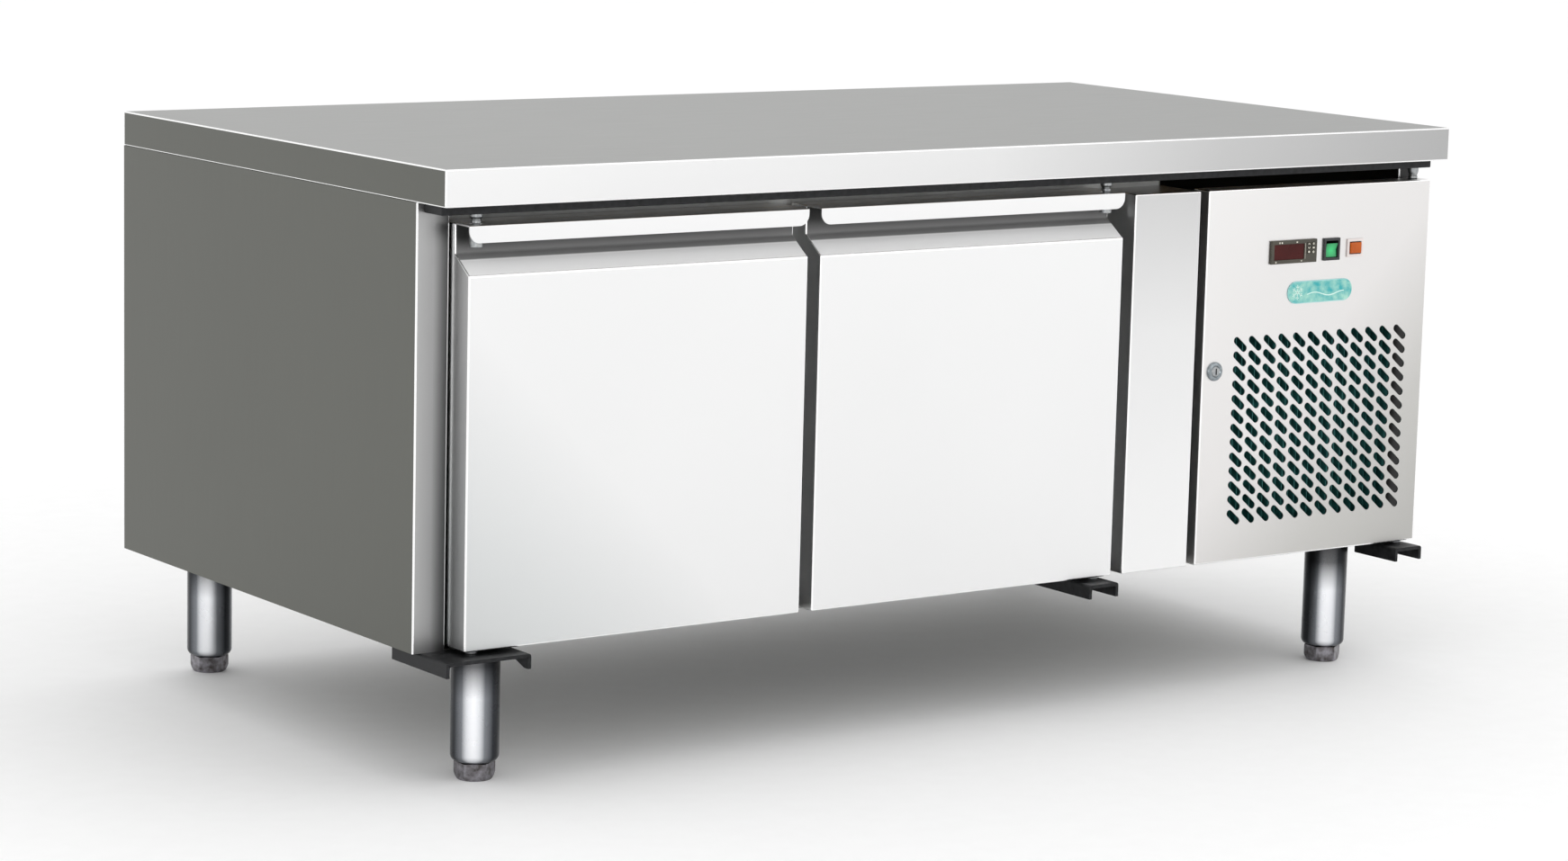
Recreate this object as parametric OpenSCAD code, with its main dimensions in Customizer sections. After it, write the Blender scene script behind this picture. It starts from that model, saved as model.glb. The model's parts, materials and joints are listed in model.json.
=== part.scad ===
// Low refrigerated counter: two hinged doors, a side-mounted cooling unit behind a
// perforated service panel, and a stainless worktop on four adjustable legs.
// Origin: on the floor, below the middle of the worktop. +X right, +Y back, +Z up.
// The doors face -Y. Millimetres.

/* [Cabinet] */
// Width over the worktop
cabinet_w = 1360; // [1340:10:1420]
// Depth over the worktop
cabinet_d = 700; // [690:5:740]
// Height of the worktop above the floor
cabinet_h = 640; // [630:5:670]
// Thickness of the worktop's folded edge
worktop_t = 38; // [34:1:42]
// Height of the cabinet's underside above the floor
body_bottom = 144; // [140:1:150]
// How far the worktop stands out past the doors
worktop_overhang = 20; // [16:1:24]

/* [Doors] */
// Width of each door
door_w = 415; // [405:1:420]
// How far each door stands out past the cabinet's front posts
door_stand_out = 35; // [33:1:38]
// Thickness of a door without its seal
door_t = 55; // [53:1:57]
// Height of the finger lip along a door's top edge
lip_h = 18; // [14:1:22]
// Depth of the finger recess behind the lip
recess_depth = 28; // [24:1:30]
// Gap between neighbouring fronts
front_gap = 16; // [14:1:18]
// Widest opening of the doors and the service panel, in degrees
door_swing = 105; // [90:5:110]

/* [Service panel] */
// Width of the perforated panel
panel_w = 343; // [335:1:345]
// Columns of slots in the grille
slot_columns = 12; // [8:1:13]
// Rows of slots in the grille
slot_rows = 13; // [8:1:14]
// Length of one slot
slot_l = 23.5; // [18:0.5:24]
// Width of one slot
slot_w = 8.5; // [6:0.5:9]

/* [Legs] */
// Outside radius of a leg's tube
leg_r = 25.4; // [22:0.1:28]
// Height of the hexagonal foot below the tube
foot_h = 18; // [16:1:22]
// Distance of each leg's axis from the cabinet's end
leg_inset = 90; // [86:1:96]

/* [Cavity] */
// Height of the inside of the cold cavity
cavity_h = 355; // [340:5:360]
// Width of a wire shelf
shelf_w = 325; // [320:1:330]
// Depth of a wire shelf, front to back
shelf_d = 530; // [500:5:530]

/* [Hidden] */
$fn = 48;

// Colours of the finishes
steel = "#d9dadb";
dark_steel = "#3a3b3c";
foam_yellow = "#e6d9a8";
seal_grey = "#6c6f70";
white_plastic = "#e9ebea";
black_plastic = "#26282a";
fin_teal = "#2c4a49";
copper = "#b8734a";

// Thickness of the folded sheets, and the outline of the worktop
sheet = 1.5;
x_end = cabinet_w / 2;
y_end = cabinet_d / 2;
worktop_z = cabinet_h - worktop_t;
worktop_lip = 15;

// Fronts: one plane for the doors, the strip and the service panel
front_y = -y_end + worktop_overhang;
post_y = front_y + door_stand_out;
door_back_y = front_y + door_t;
seal_t = 11.5;
seal_gap = 0.5;
ledge_y = door_back_y + seal_t + seal_gap;
foam_y = ledge_y + 3;
post_w = 38;
door_side_gap = 2;
door_z = body_bottom + 4;
door_top = worktop_z - 27;
fronts_top = worktop_z - 24;

// Left and right edges of the two doors, the strip and the service panel
door_left_x = -x_end + post_w + door_side_gap;
door_right_x = door_left_x + door_w + front_gap;
strip_x = door_right_x + door_w + front_gap;
panel_right_x = x_end - 7;
panel_x = panel_right_x - panel_w;
strip_end_x = panel_x - 12;

// Hinge axes: this far in from a front's edge and behind its face
pivot_in = 16;
pivot_back = 14;
pivot_y = front_y + pivot_back;
pin_r = 4;
running_clearance = 0.05;
bush_r = 7;
door_left_pivot = door_left_x + pivot_in;
door_right_pivot = door_right_x + door_w - pivot_in;
panel_pivot = panel_right_x - pivot_in;
rail_h = 10;
rail_z = worktop_z - rail_h;
bracket_t = 4;
bracket_z = body_bottom - bracket_t;
bracket_flange = 12;

// Door section: the front face folds back at the top into the finger recess
chamfer_low = door_top - 51;
chamfer_high = door_top - 31;
recess_y = front_y + recess_depth;
seal_inset = 12;
seal_w = 14;

// Cold cavity, inside its liner
liner_t = 1;
cavity_x0 = door_left_x + 28;
cavity_open_x = door_right_x + door_w - 28;
cavity_x1 = strip_x + 40;
cavity_y1 = y_end - 48;
cavity_z0 = body_bottom + 46;
cavity_z1 = cavity_z0 + cavity_h;
nook_wall = 48;
unit_wall_x1 = cavity_x1 + 50;
post_half = 36;
post_x = door_right_x - front_gap / 2;

// Shelving: channel uprights, angle runners and one wire shelf in each bay
upright_w = 10;
upright_l = 20;
runner_w = 32;
runner_z = cavity_z0 + 172;
runner_y0 = -190;
runner_y1 = 292;
upright_y = [-150, 250];
evaporator_x = cavity_open_x + 10;
bays = [
    [cavity_x0 + upright_w, post_x - 5 - upright_w],
    [post_x + 5 + upright_w, evaporator_x - 2 - upright_w]
];
wire_r = 1.75;
rim_r = 3.5;
shelf_y0 = -236;

// Legs
leg_x = x_end - leg_inset;
leg_front_y = -y_end + 80;
leg_back_y = y_end - 35;
leg_top = bracket_z;
leg_edge_r = 8;
leg_plate = [70, 66];
stem_r = 8;
stem_top = 85;
foot_r = 21.5;
foot_gap = 0.3;

// Service panel and what it carries, across and up the front plane
panel_return = 26;
slot_pitch_x = 22.6;
slot_pitch_z = 16.7;
slot_angle = -40;
grille_x = panel_x + panel_w / 2 + 8.5;
grille_z = door_z + 151.5;
lock_x = panel_x + 18;
lock_z = 371;
lock_r = 11;
controls_z = 503;
controller_x = 460;
controller_w = 70;
controller_h = 27;
rocker_x = 519;
rocker_side = 25;
lamp_x = 556;
badge_x = 504;
badge_z = 455;
key_travel = 0.8;
key_w = 4.6;
key_h = 3;
key_columns = [56.7, 63.6];
key_rows = [8.1, 3.5, -1.1];
rocker_tilt = 7;

// Cooling unit behind the service panel
coil_x0 = 362;
coil_x1 = 652;
coil_z0 = 165;
coil_z1 = 430;
coil_y0 = post_y + 2;
coil_y1 = coil_y0 + 44;
fan_x = (coil_x0 + coil_x1) / 2;
fan_z = (coil_z0 + coil_z1) / 2;
fan_r = 112;
unit_floor = body_bottom + sheet;
compressor_x = 505;
compressor_y = 150;
evaporator_fan_y = -115;
evaporator_fan_z = 372;
evaporator_fan_r = 68;

// Right post, which is narrower than the left
narrow_post_w = 25;
narrow_post_fold = 12;

// Pins, bushes and collars shared by the three hinged fronts
pivots = [door_left_pivot, door_right_pivot, panel_pivot];
bush_l = 17;
collar_r = 6.5;
rail_pin_top = rail_z + 7;
lip_r = 12;
nook_y = foam_y + nook_wall;

// Lock cam, display window, rocker and lamp
plug_r = 6;
cam_y = front_y + 27;
cam_w = 14;
cam_l = 36;
window_x = 27;
window_w = 46;
window_h = 18;
rocker_w = 17;
rocker_reach = 8.2;
rocker_depth = 10.5;
rocker_pivot_y = front_y + 8.5;
lamp_w = 25;
lamp_h = 21;
condenser_motor_r = 36;

// Pipes through the wall, and the mains cable's gland in the floor
suction_r = 6.3;
suction_y = 275;
suction_z = 480;
liquid_r = 3.2;
liquid_y = 262;
liquid_z = 450;
gland_x = 600;
gland_y = 251;
gland_r = 10;
gland_bore_r = 4.5;

// ---- shapes used in many places ----

// A box between two values on each axis
module block(x, y, z)
    translate([x[0], y[0], z[0]])
        cube([x[1] - x[0], y[1] - y[0], z[1] - z[0]]);

// A drawing in X and Z, given a thickness in Y
module plate_xz(y)
    translate([0, y[1], 0]) rotate([90, 0, 0]) linear_extrude(y[1] - y[0]) children();

// A section in Y and Z, run along X
module run_x(x)
    translate([x[0], 0, 0]) rotate([90, 0, 90]) linear_extrude(x[1] - x[0]) children();

// Round bars along each axis
module rod_x(x, y, z, r)
    translate([x[0], y, z]) rotate([0, 90, 0]) cylinder(r = r, h = x[1] - x[0]);
module rod_y(x, y, z, r)
    translate([x, y[1], z]) rotate([90, 0, 0]) cylinder(r = r, h = y[1] - y[0]);
module rod_z(x, y, z, r)
    translate([x, y, z[0]]) cylinder(r = r, h = z[1] - z[0]);

// A tube through a list of points, with a slightly fatter ball at each brazed elbow
module tube_run(points, r) {
    for (i = [0 : len(points) - 2]) {
        step = points[i + 1] - points[i];
        len_xy = norm([step.x, step.y]);
        translate(points[i])
            rotate([0, atan2(len_xy, step.z), atan2(step.y, step.x)])
                cylinder(r = r, h = norm(step));
    }
    for (i = [1 : len(points) - 2]) translate(points[i]) sphere(r = r + 0.6);
}

// A slot with round ends, centred
module slot_shape(length, width) {
    square([length - width, width], center = true);
    for (side = [-1, 1]) translate([side * (length - width) / 2, 0]) circle(d = width);
}

// ---- worktop and cabinet shell ----

// A folded stainless pan, open below except for a narrow return all round
module worktop() color(steel)
    difference() {
        block([-x_end, x_end], [-y_end, y_end], [worktop_z, cabinet_h]);
        block([-x_end + sheet, x_end - sheet], [-y_end + sheet, y_end - sheet],
            [worktop_z + sheet, cabinet_h - sheet]);
        block([-x_end + worktop_lip, x_end - worktop_lip],
            [-y_end + worktop_lip, y_end - worktop_lip],
            [worktop_z - 1, worktop_z + sheet + 1]);
    }

// The board that fills the pan and stiffens it
module worktop_core() color(foam_yellow) {
    block([-x_end + sheet, x_end - sheet], [-y_end + sheet, y_end - sheet],
        [worktop_z + sheet, cabinet_h - sheet]);
    block([-x_end + worktop_lip, x_end - worktop_lip],
        [-y_end + worktop_lip, y_end - worktop_lip],
        [worktop_z, worktop_z + 2 * sheet]);
}

// The dark bar under the worktop that holds the upper hinge pins
module hinge_rail() color(dark_steel)
    difference() {
        block([-x_end + 8, x_end - 8], [front_y, post_y], [rail_z, worktop_z]);
        for (x = pivots) rod_z(x, pivot_y, [rail_z - 1, rail_pin_top], pin_r);
    }

// One folded sheet: outer side, front post face and the return beside the door
module left_side_panel() color(steel) {
    block([-x_end, -x_end + sheet], [post_y, y_end], [body_bottom, worktop_z]);
    block([-x_end, -x_end + post_w], [post_y, post_y + sheet], [body_bottom, worktop_z]);
    block([-x_end + post_w - sheet, -x_end + post_w], [post_y, ledge_y],
        [body_bottom, worktop_z]);
}

// The far side, with a narrow front post beside the service panel
module right_side_panel() color(steel) {
    block([x_end - sheet, x_end], [post_y, y_end], [body_bottom, worktop_z]);
    block([x_end - narrow_post_w, x_end], [post_y, post_y + sheet],
        [body_bottom, worktop_z]);
    block([x_end - narrow_post_w, x_end - narrow_post_w + sheet],
        [post_y, post_y + narrow_post_fold], [body_bottom, worktop_z]);
}

// Back sheet, with louvre slots behind the cooling unit
module back_panel() color(steel)
    plate_xz([y_end - sheet, y_end]) difference() {
        translate([-x_end + sheet, body_bottom])
            square([cabinet_w - 2 * sheet, worktop_z - body_bottom]);
        for (row = [0 : 9], column = [0 : 1])
            translate([440 + column * 110, 250 + row * 18]) slot_shape(90, 6);
    }

// Floor sheet of the cabinet
module base_panel() color(steel)
    difference() {
        block([-x_end + sheet, x_end - sheet], [post_y + sheet, y_end - sheet],
            [body_bottom, unit_floor]);
        block([-x_end + post_w - sheet, -x_end + post_w], [post_y, ledge_y],
            [body_bottom - 1, unit_floor + 1]);
        block([x_end - narrow_post_w, x_end - narrow_post_w + sheet],
            [post_y, post_y + narrow_post_fold], [body_bottom - 1, unit_floor + 1]);
        rod_z(gland_x, gland_y, [body_bottom - 1, unit_floor + 1], gland_r);
    }

// The wall that shuts the cooling unit off from the foam
module unit_wall() color(steel)
    difference() {
        block([unit_wall_x1, unit_wall_x1 + sheet], [ledge_y, y_end - sheet],
            [unit_floor, worktop_z]);
        pipe_holes();
    }

// Where the two refrigerant pipes pass from the cold cavity to the cooling unit
module pipe_holes() {
    rod_x([cavity_x1 - 1, unit_wall_x1 + 2], suction_y, suction_z, suction_r + 2);
    rod_x([cavity_x1 - 1, unit_wall_x1 + 2], liquid_y, liquid_z, liquid_r + 2);
}

// Foam between the outer sheets and the liner
module insulation() color(foam_yellow)
    difference() {
        block([-x_end + sheet, unit_wall_x1], [foam_y, y_end - sheet],
            [unit_floor, worktop_z]);
        difference() {
            block([cavity_x0 - liner_t, cavity_x1 + liner_t],
                [foam_y - 1, cavity_y1 + liner_t],
                [cavity_z0 - liner_t, cavity_z1 + liner_t]);
            block([cavity_open_x, cavity_x1 + liner_t], [foam_y - 2, nook_y],
                [cavity_z0, cavity_z1]);
        }
        pipe_holes();
    }

// Stainless liner of the cavity, with the front wall of the evaporator nook
module cavity_liner() color(steel)
    difference() {
        union() {
            difference() {
                block([cavity_x0 - liner_t, cavity_x1 + liner_t],
                    [foam_y, cavity_y1 + liner_t],
                    [cavity_z0 - liner_t, cavity_z1 + liner_t]);
                block([cavity_x0, cavity_x1 + 2 * liner_t], [foam_y - 1, nook_y],
                    [cavity_z0, cavity_z1]);
                block([cavity_x0, cavity_x1], [nook_y - 1, cavity_y1],
                    [cavity_z0, cavity_z1]);
            }
            block([cavity_open_x - liner_t, cavity_x1 + liner_t],
                [nook_y, nook_y + liner_t], [cavity_z0, cavity_z1]);
            block([cavity_open_x - liner_t, cavity_open_x], [foam_y, nook_y + liner_t],
                [cavity_z0, cavity_z1]);
        }
        pipe_holes();
    }

// Plastic strips around the door openings, which the seals close on
module breaker_strips() color(white_plastic)
    plate_xz([ledge_y, foam_y]) difference() {
        translate([-x_end + post_w, unit_floor])
            square([unit_wall_x1 + x_end - post_w, worktop_z - unit_floor]);
        translate([cavity_x0, cavity_z0])
            square([cavity_open_x - liner_t - cavity_x0, cavity_h]);
    }

// The post between the two door openings
module centre_post() color(white_plastic)
    block([post_x - post_half, post_x + post_half], [ledge_y, nook_y - 5],
        [cavity_z0, cavity_z1]);

// The fixed front between the right door and the service panel, folded back at its
// sides and ends, with a slot that the panel's lock cam enters
module front_strip() color(steel)
    difference() {
        block([strip_x, strip_end_x], [front_y, ledge_y], [door_z, fronts_top]);
        block([strip_x + sheet, strip_end_x - sheet], [front_y + sheet, ledge_y + 1],
            [door_z + sheet, fronts_top - sheet]);
        block([strip_end_x - 2 * sheet, strip_end_x + 1], [cam_y - 3, cam_y + 5],
            [lock_z - 25, lock_z + 11]);
    }

// ---- shelving ----

// Uprights that stand in the cavity, and the angle runners that hook onto them
module shelf_supports() color(steel)
    for (bay = bays, side = [0, 1]) {
        upright_x = side == 0 ? bay[0] - upright_w : bay[1];
        runner_x = side == 0 ? bay[0] : bay[1] - runner_w;
        web_x = side == 0 ? bay[0] : bay[1] - 2;
        for (y = upright_y)
            block([upright_x, upright_x + upright_w], [y, y + upright_l],
                [cavity_z0, cavity_z1]);
        block([runner_x, runner_x + runner_w], [runner_y0, runner_y1],
            [runner_z, runner_z + 2]);
        block([web_x, web_x + 2], [runner_y0, runner_y1], [runner_z - 14, runner_z + 2]);
    }

// One wire shelf in each bay
module wire_shelves() color(steel)
    for (bay = bays) {
        x0 = (bay[0] + bay[1] - shelf_w) / 2 + rim_r;
        x1 = x0 + shelf_w - 2 * rim_r;
        y0 = shelf_y0 + rim_r;
        y1 = shelf_y0 + shelf_d - rim_r;
        z = runner_z + 2 + rim_r;
        for (y = [y0, (y0 + y1) / 2, y1]) rod_x([x0, x1], y, z, rim_r);
        for (x = [x0, x1]) rod_y(x, [y0, y1], z, rim_r);
        for (x = [x0, x1], y = [y0, y1]) translate([x, y, z]) sphere(r = rim_r);
        for (i = [1 : 11]) rod_y(x0 + i * (x1 - x0) / 12, [y0, y1], z + wire_r, wire_r);
    }

// ---- evaporator ----

// A finned coil: thin plates on straight tubes
module fin_coil(length, width, height, pitch, tubes) {
    for (i = [0 : floor(length / pitch)])
        translate([i * pitch, 0, 0]) cube([1, width, height]);
    for (i = [0 : tubes - 1], row = [0, 1])
        rod_x([0, length + 1], width * (0.28 + 0.44 * row),
            height * (i + 0.5) / tubes, 5);
}

module evaporator_coil() color(fin_teal)
    translate([256, -20, 215]) rotate([0, 0, 90]) fin_coil(300, 44, 285, 12, 6);

// Sheet cover in front of the coil, with its fan opening and air inlets
module evaporator_cover() color(steel)
    difference() {
        block([evaporator_x - 2, evaporator_x], [nook_y + liner_t, cavity_y1],
            [cavity_z0, cavity_z1]);
        rod_x([evaporator_x - 3, evaporator_x + 1], evaporator_fan_y, evaporator_fan_z,
            evaporator_fan_r + 5);
        for (i = [0 : 5])
            block([evaporator_x - 3, evaporator_x + 1], [30, 230],
                [230 + 22 * i, 240 + 22 * i]);
    }

module evaporator_motor() color(black_plastic)
    difference() {
        union() {
            rod_x([216, 250], evaporator_fan_y, evaporator_fan_z, 32);
            rod_x([250, cavity_x1], evaporator_fan_y, evaporator_fan_z, 20);
        }
        rod_x([215, 236], evaporator_fan_y, evaporator_fan_z, pin_r + running_clearance);
    }

// Blades set at a pitch on a hub, turning about X; the shaft runs back along +X
module fan_wheel(r, hub_r, depth, blades, pitch, shaft_l) {
    intersection() {
        rod_x([0, depth], 0, 0, r);
        for (i = [0 : blades - 1])
            rotate([i * 360 / blades, 0, 0])
                translate([depth / 2, 0, 0]) rotate([0, 0, pitch])
                    translate([-1, -r * 0.3, hub_r - 3]) cube([2, r * 0.6, r]);
    }
    rod_x([0, depth], 0, 0, hub_r);
    rod_x([0, depth + shaft_l], 0, 0, pin_r);
}

module evaporator_fan() color(black_plastic)
    translate([193, evaporator_fan_y, evaporator_fan_z])
        fan_wheel(evaporator_fan_r, 18, 19, 5, 55, 20);

// ---- legs ----

// A tube leg with a rounded lower end, tapped for its foot
module leg(x, y) {
    translate([x, y, 0]) difference() {
        rotate_extrude() difference() {
            union() {
                translate([0, foot_h + foot_gap + leg_edge_r])
                    square([leg_r, leg_top - foot_h - foot_gap - leg_edge_r]);
                translate([0, foot_h + foot_gap]) square([leg_r - leg_edge_r, leg_edge_r + 1]);
                translate([leg_r - leg_edge_r, foot_h + foot_gap + leg_edge_r])
                    circle(r = leg_edge_r);
            }
            translate([0, stem_top + 10]) square([leg_r - 2, leg_top - stem_top - 14]);
        }
        rod_z(0, 0, [0, stem_top + 11], stem_r + running_clearance);
    }
}

module legs() color(steel) {
    for (x = [-leg_x, leg_x], y = [leg_front_y, leg_back_y]) leg(x, y);
    for (corner = [[leg_x, leg_front_y], [-leg_x, leg_back_y], [leg_x, leg_back_y]])
        translate([corner.x - leg_plate.x / 2,
            corner.y - (corner.y < 0 ? leg_r - 1 : leg_plate.y / 2), leg_top])
            cube([leg_plate.x, leg_plate.y, bracket_t]);
}

// Hexagonal foot with a domed underside, on a threaded stem
module foot(x, y) color(steel)
    translate([x, y, 0]) {
        intersection() {
            cylinder(r = foot_r, h = foot_h, $fn = 6);
            translate([0, 0, foot_h - 3]) sphere(r = foot_r + 1.2);
            cylinder(r = foot_r, h = foot_h);
        }
        cylinder(r = 9, h = 1);
        rod_z(0, 0, [foot_h - 1, stem_top], stem_r);
    }

module foot_front_left() foot(-leg_x, leg_front_y);
module foot_front_right() foot(leg_x, leg_front_y);
module foot_back_left() foot(-leg_x, leg_back_y);
module foot_back_right() foot(leg_x, leg_back_y);

// ---- hinges ----

// A pressed channel under the cabinet that carries a lower hinge pin
module hinge_bracket(x0, x1, y_back, pivot, taper) {
    y0 = front_y - 19;
    difference() {
        union() {
            block([x0, x1], [y0, y_back], [bracket_z, body_bottom]);
            block([x0, x0 + 2], [y0, y_back],
                [bracket_z - bracket_flange, bracket_z + 1]);
            run_x([x1 - 2, x1])
                polygon([[y0, bracket_z + 1], [y0, bracket_z - bracket_flange],
                    [taper ? y0 + 8 : y_back, bracket_z - bracket_flange],
                    [taper ? y0 + 44 : y_back, bracket_z + 1]]);
            block([x0, x1], [front_y + 6, front_y + 8],
                [bracket_z - 5, bracket_z + 1]);
        }
        rod_z(pivot, pivot_y, [bracket_z - 1, body_bottom + 1], pin_r);
    }
}

// The left one is wide and also carries the front left leg
module hinge_brackets() color(dark_steel) {
    hinge_bracket(-x_end + 8, -x_end + 108, post_y + 55, door_left_pivot, true);
    hinge_bracket(door_right_pivot - 30, door_right_pivot + 12, post_y + 55,
        door_right_pivot, false);
    hinge_bracket(panel_pivot - 30, panel_pivot + 12, post_y + 16, panel_pivot, false);
}

// Six pins with the collars that space each front from the rail and the brackets
module hinge_pins() color("#c9cacb")
    for (x = pivots) {
        front_top = x == panel_pivot ? fronts_top : door_top;
        rod_z(x, pivot_y, [front_top - bush_l + 4, rail_pin_top], pin_r);
        rod_z(x, pivot_y, [front_top + 0.5, rail_z], collar_r);
        rod_z(x, pivot_y, [bracket_z, door_z + bush_l - 4], pin_r);
        rod_z(x, pivot_y, [body_bottom, door_z - 0.5], collar_r);
    }

// ---- doors ----

// The door's section: a flat face, a sloping shoulder and the finger recess, drawn
// this much inside the outer surface
module door_section(inset) {
    slope = (chamfer_high - chamfer_low) / recess_depth;
    drop = inset * (sqrt(1 + slope * slope) - slope);
    polygon([
        [front_y + inset, door_z + inset],
        [front_y + inset, chamfer_low - drop],
        [recess_y + inset, chamfer_high - drop],
        [recess_y + inset, door_top - inset],
        [door_back_y - (inset > 0 ? liner_t : 0), door_top - inset],
        [door_back_y - (inset > 0 ? liner_t : 0), door_z + inset]
    ]);
}

module bush_holes(pivot) {
    rod_z(pivot, pivot_y, [door_z - 1, door_z + bush_l], bush_r);
    rod_z(pivot, pivot_y, [door_top - 3, door_top + 1], bush_r);
}

// Outer skin, whose top edge folds forward and down into the finger lip
module door_skin(x0, pivot) color(steel)
    difference() {
        union() {
            difference() {
                run_x([x0, x0 + door_w]) door_section(0);
                run_x([x0 + sheet, x0 + door_w - sheet]) door_section(sheet);
                block([x0 + sheet, x0 + door_w - sheet], [door_back_y - 2, door_back_y + 1],
                    [door_z + sheet, door_top - sheet]);
            }
            block([x0, x0 + door_w], [front_y, recess_y + 1],
                [door_top - sheet, door_top]);
            plate_xz([front_y, front_y + sheet])
                translate([x0, door_top - lip_h]) {
                    translate([0, lip_r]) square([door_w, lip_h - lip_r]);
                    translate([lip_r, 0]) square([door_w - 2 * lip_r, lip_h]);
                    for (x = [lip_r, door_w - lip_r]) translate([x, lip_r]) circle(r = lip_r);
                }
        }
        bush_holes(pivot);
    }

module door_core(x0, pivot) color(foam_yellow)
    difference() {
        run_x([x0 + sheet, x0 + door_w - sheet]) door_section(sheet);
        bush_holes(pivot);
    }

module door_liner(x0) color(steel)
    block([x0 + sheet, x0 + door_w - sheet], [door_back_y - liner_t, door_back_y],
        [door_z + sheet, door_top - sheet]);

module door_gasket(x0) color(seal_grey)
    plate_xz([door_back_y, door_back_y + seal_t]) difference() {
        translate([x0 + seal_inset, door_z + seal_inset])
            square([door_w - 2 * seal_inset, door_top - door_z - 2 * seal_inset]);
        translate([x0 + seal_inset + seal_w, door_z + seal_inset + seal_w])
            square([door_w - 2 * (seal_inset + seal_w),
                door_top - door_z - 2 * (seal_inset + seal_w)]);
    }

// The two bushes that turn on the hinge pins
module door_bushes(pivot) color("#b9babb")
    for (ends = [[door_z, door_z + bush_l], [door_top - bush_l, door_top]])
        difference() {
            rod_z(pivot, pivot_y, ends, bush_r);
            rod_z(pivot, pivot_y, [
                ends[0] + (ends[0] == door_z ? -1 : 2),
                ends[1] - (ends[0] == door_z ? 2 : -1)], pin_r + running_clearance);
        }

module door_left_skin() door_skin(door_left_x, door_left_pivot);
module door_left_core() door_core(door_left_x, door_left_pivot);
module door_left_liner() door_liner(door_left_x);
module door_left_gasket() door_gasket(door_left_x);
module door_left_bushes() door_bushes(door_left_pivot);
module door_right_skin() door_skin(door_right_x, door_right_pivot);
module door_right_core() door_core(door_right_x, door_right_pivot);
module door_right_liner() door_liner(door_right_x);
module door_right_gasket() door_gasket(door_right_x);
module door_right_bushes() door_bushes(door_right_pivot);

// ---- service panel, lock and controls ----

// A pan with a slotted grille, cut-outs for the controls and welded hinge bushes
module service_panel() color(steel) {
    difference() {
        union() {
            difference() {
                block([panel_x, panel_right_x], [front_y, front_y + panel_return],
                    [door_z, fronts_top]);
                block([panel_x + sheet, panel_right_x - sheet],
                    [front_y + sheet, front_y + panel_return + 1],
                    [door_z + sheet, fronts_top - sheet]);
            }
            rod_z(panel_pivot, pivot_y, [door_z, door_z + bush_l], bush_r);
            rod_z(panel_pivot, pivot_y, [fronts_top - bush_l, fronts_top], bush_r);
        }
        rod_z(panel_pivot, pivot_y, [door_z - 1, door_z + bush_l + 1],
            pin_r + running_clearance);
        rod_z(panel_pivot, pivot_y, [fronts_top - bush_l - 1, fronts_top + 1],
            pin_r + running_clearance);
        plate_xz([front_y - 1, front_y + sheet + 1]) panel_cuts();
    }
}

module panel_cuts() {
    for (column = [0 : slot_columns - 1], row = [0 : slot_rows - 1])
        translate([grille_x + (column - (slot_columns - 1) / 2) * slot_pitch_x,
            grille_z + (row - (slot_rows - 1) / 2) * slot_pitch_z])
            rotate(slot_angle) slot_shape(slot_l, slot_w);
    translate([lock_x, lock_z]) circle(r = lock_r - 2);
    translate([controller_x, controls_z])
        square([controller_w - 4, controller_h - 4], center = true);
    translate([rocker_x, controls_z]) square(rocker_side - 4, center = true);
    translate([lamp_x, controls_z]) square([lamp_w - 5, lamp_h - 5], center = true);
}

// A box on the panel's front plane: centre X, centre Z, width, height, depth range
module front_box(x, z, w, h, y) block([x - w / 2, x + w / 2], y, [z - h / 2, z + h / 2]);

module lock_housing() color(steel)
    difference() {
        union() {
            rod_y(lock_x, [front_y - 3, front_y], lock_z, lock_r);
            rod_y(lock_x, [front_y, cam_y - 1], lock_z, lock_r - 2);
        }
        rod_y(lock_x, [front_y - 4, cam_y], lock_z, plug_r + running_clearance);
    }

// Keyed plug with its cam behind, which hangs down when unlocked
module lock_plug() color(steel)
    difference() {
        union() {
            rod_y(lock_x, [front_y - 3.4, cam_y], lock_z, plug_r);
            plate_xz([cam_y, cam_y + 2]) translate([lock_x, lock_z]) {
                circle(r = cam_w / 2);
                translate([-cam_w / 2, -cam_l]) square([cam_w, cam_l]);
            }
        }
        front_box(lock_x, lock_z, 2, 7.5, [front_y - 4, front_y - 1]);
    }

module controller_case() color("#4a463a") {
    left = controller_x - controller_w / 2;
    difference() {
        union() {
            front_box(controller_x, controls_z, controller_w, controller_h,
                [front_y - 3, front_y]);
            front_box(controller_x, controls_z, controller_w - 4, controller_h - 4,
                [front_y, front_y + 50]);
        }
        front_box(left + window_x, controls_z, window_w, window_h,
            [front_y - 4, front_y - 1]);
        for (x = key_columns, z = key_rows)
            front_box(left + x, controls_z + z, key_w + 0.6, key_h + 0.6,
                [front_y - 4, front_y + key_travel + 0.2]);
    }
}

module controller_window() color("#4a1e1c")
    front_box(controller_x - controller_w / 2 + window_x, controls_z, window_w, window_h,
        [front_y - 2.4, front_y - 1]);

module key(column, row) color("#6b6657")
    front_box(controller_x - controller_w / 2 + key_columns[column],
        controls_z + key_rows[row], key_w, key_h, [front_y - 3.8, front_y - 0.6]);

module key_up() key(0, 0);
module key_down() key(0, 1);
module key_set() key(0, 2);
module key_light() key(1, 0);
module key_defrost() key(1, 1);
module key_power() key(1, 2);

module rocker_frame() color(black_plastic)
    difference() {
        union() {
            front_box(rocker_x, controls_z, rocker_side, rocker_side + 1,
                [front_y - 2.5, front_y]);
            front_box(rocker_x, controls_z, rocker_side - 4, rocker_side - 4,
                [front_y, front_y + 24]);
        }
        front_box(rocker_x, controls_z, rocker_w + 0.6, 2 * rocker_reach + 3.2,
            [front_y - 3, front_y + 20]);
        rod_x([rocker_x - 10, rocker_x + 10], rocker_pivot_y, controls_z, 1.25);
    }

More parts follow.
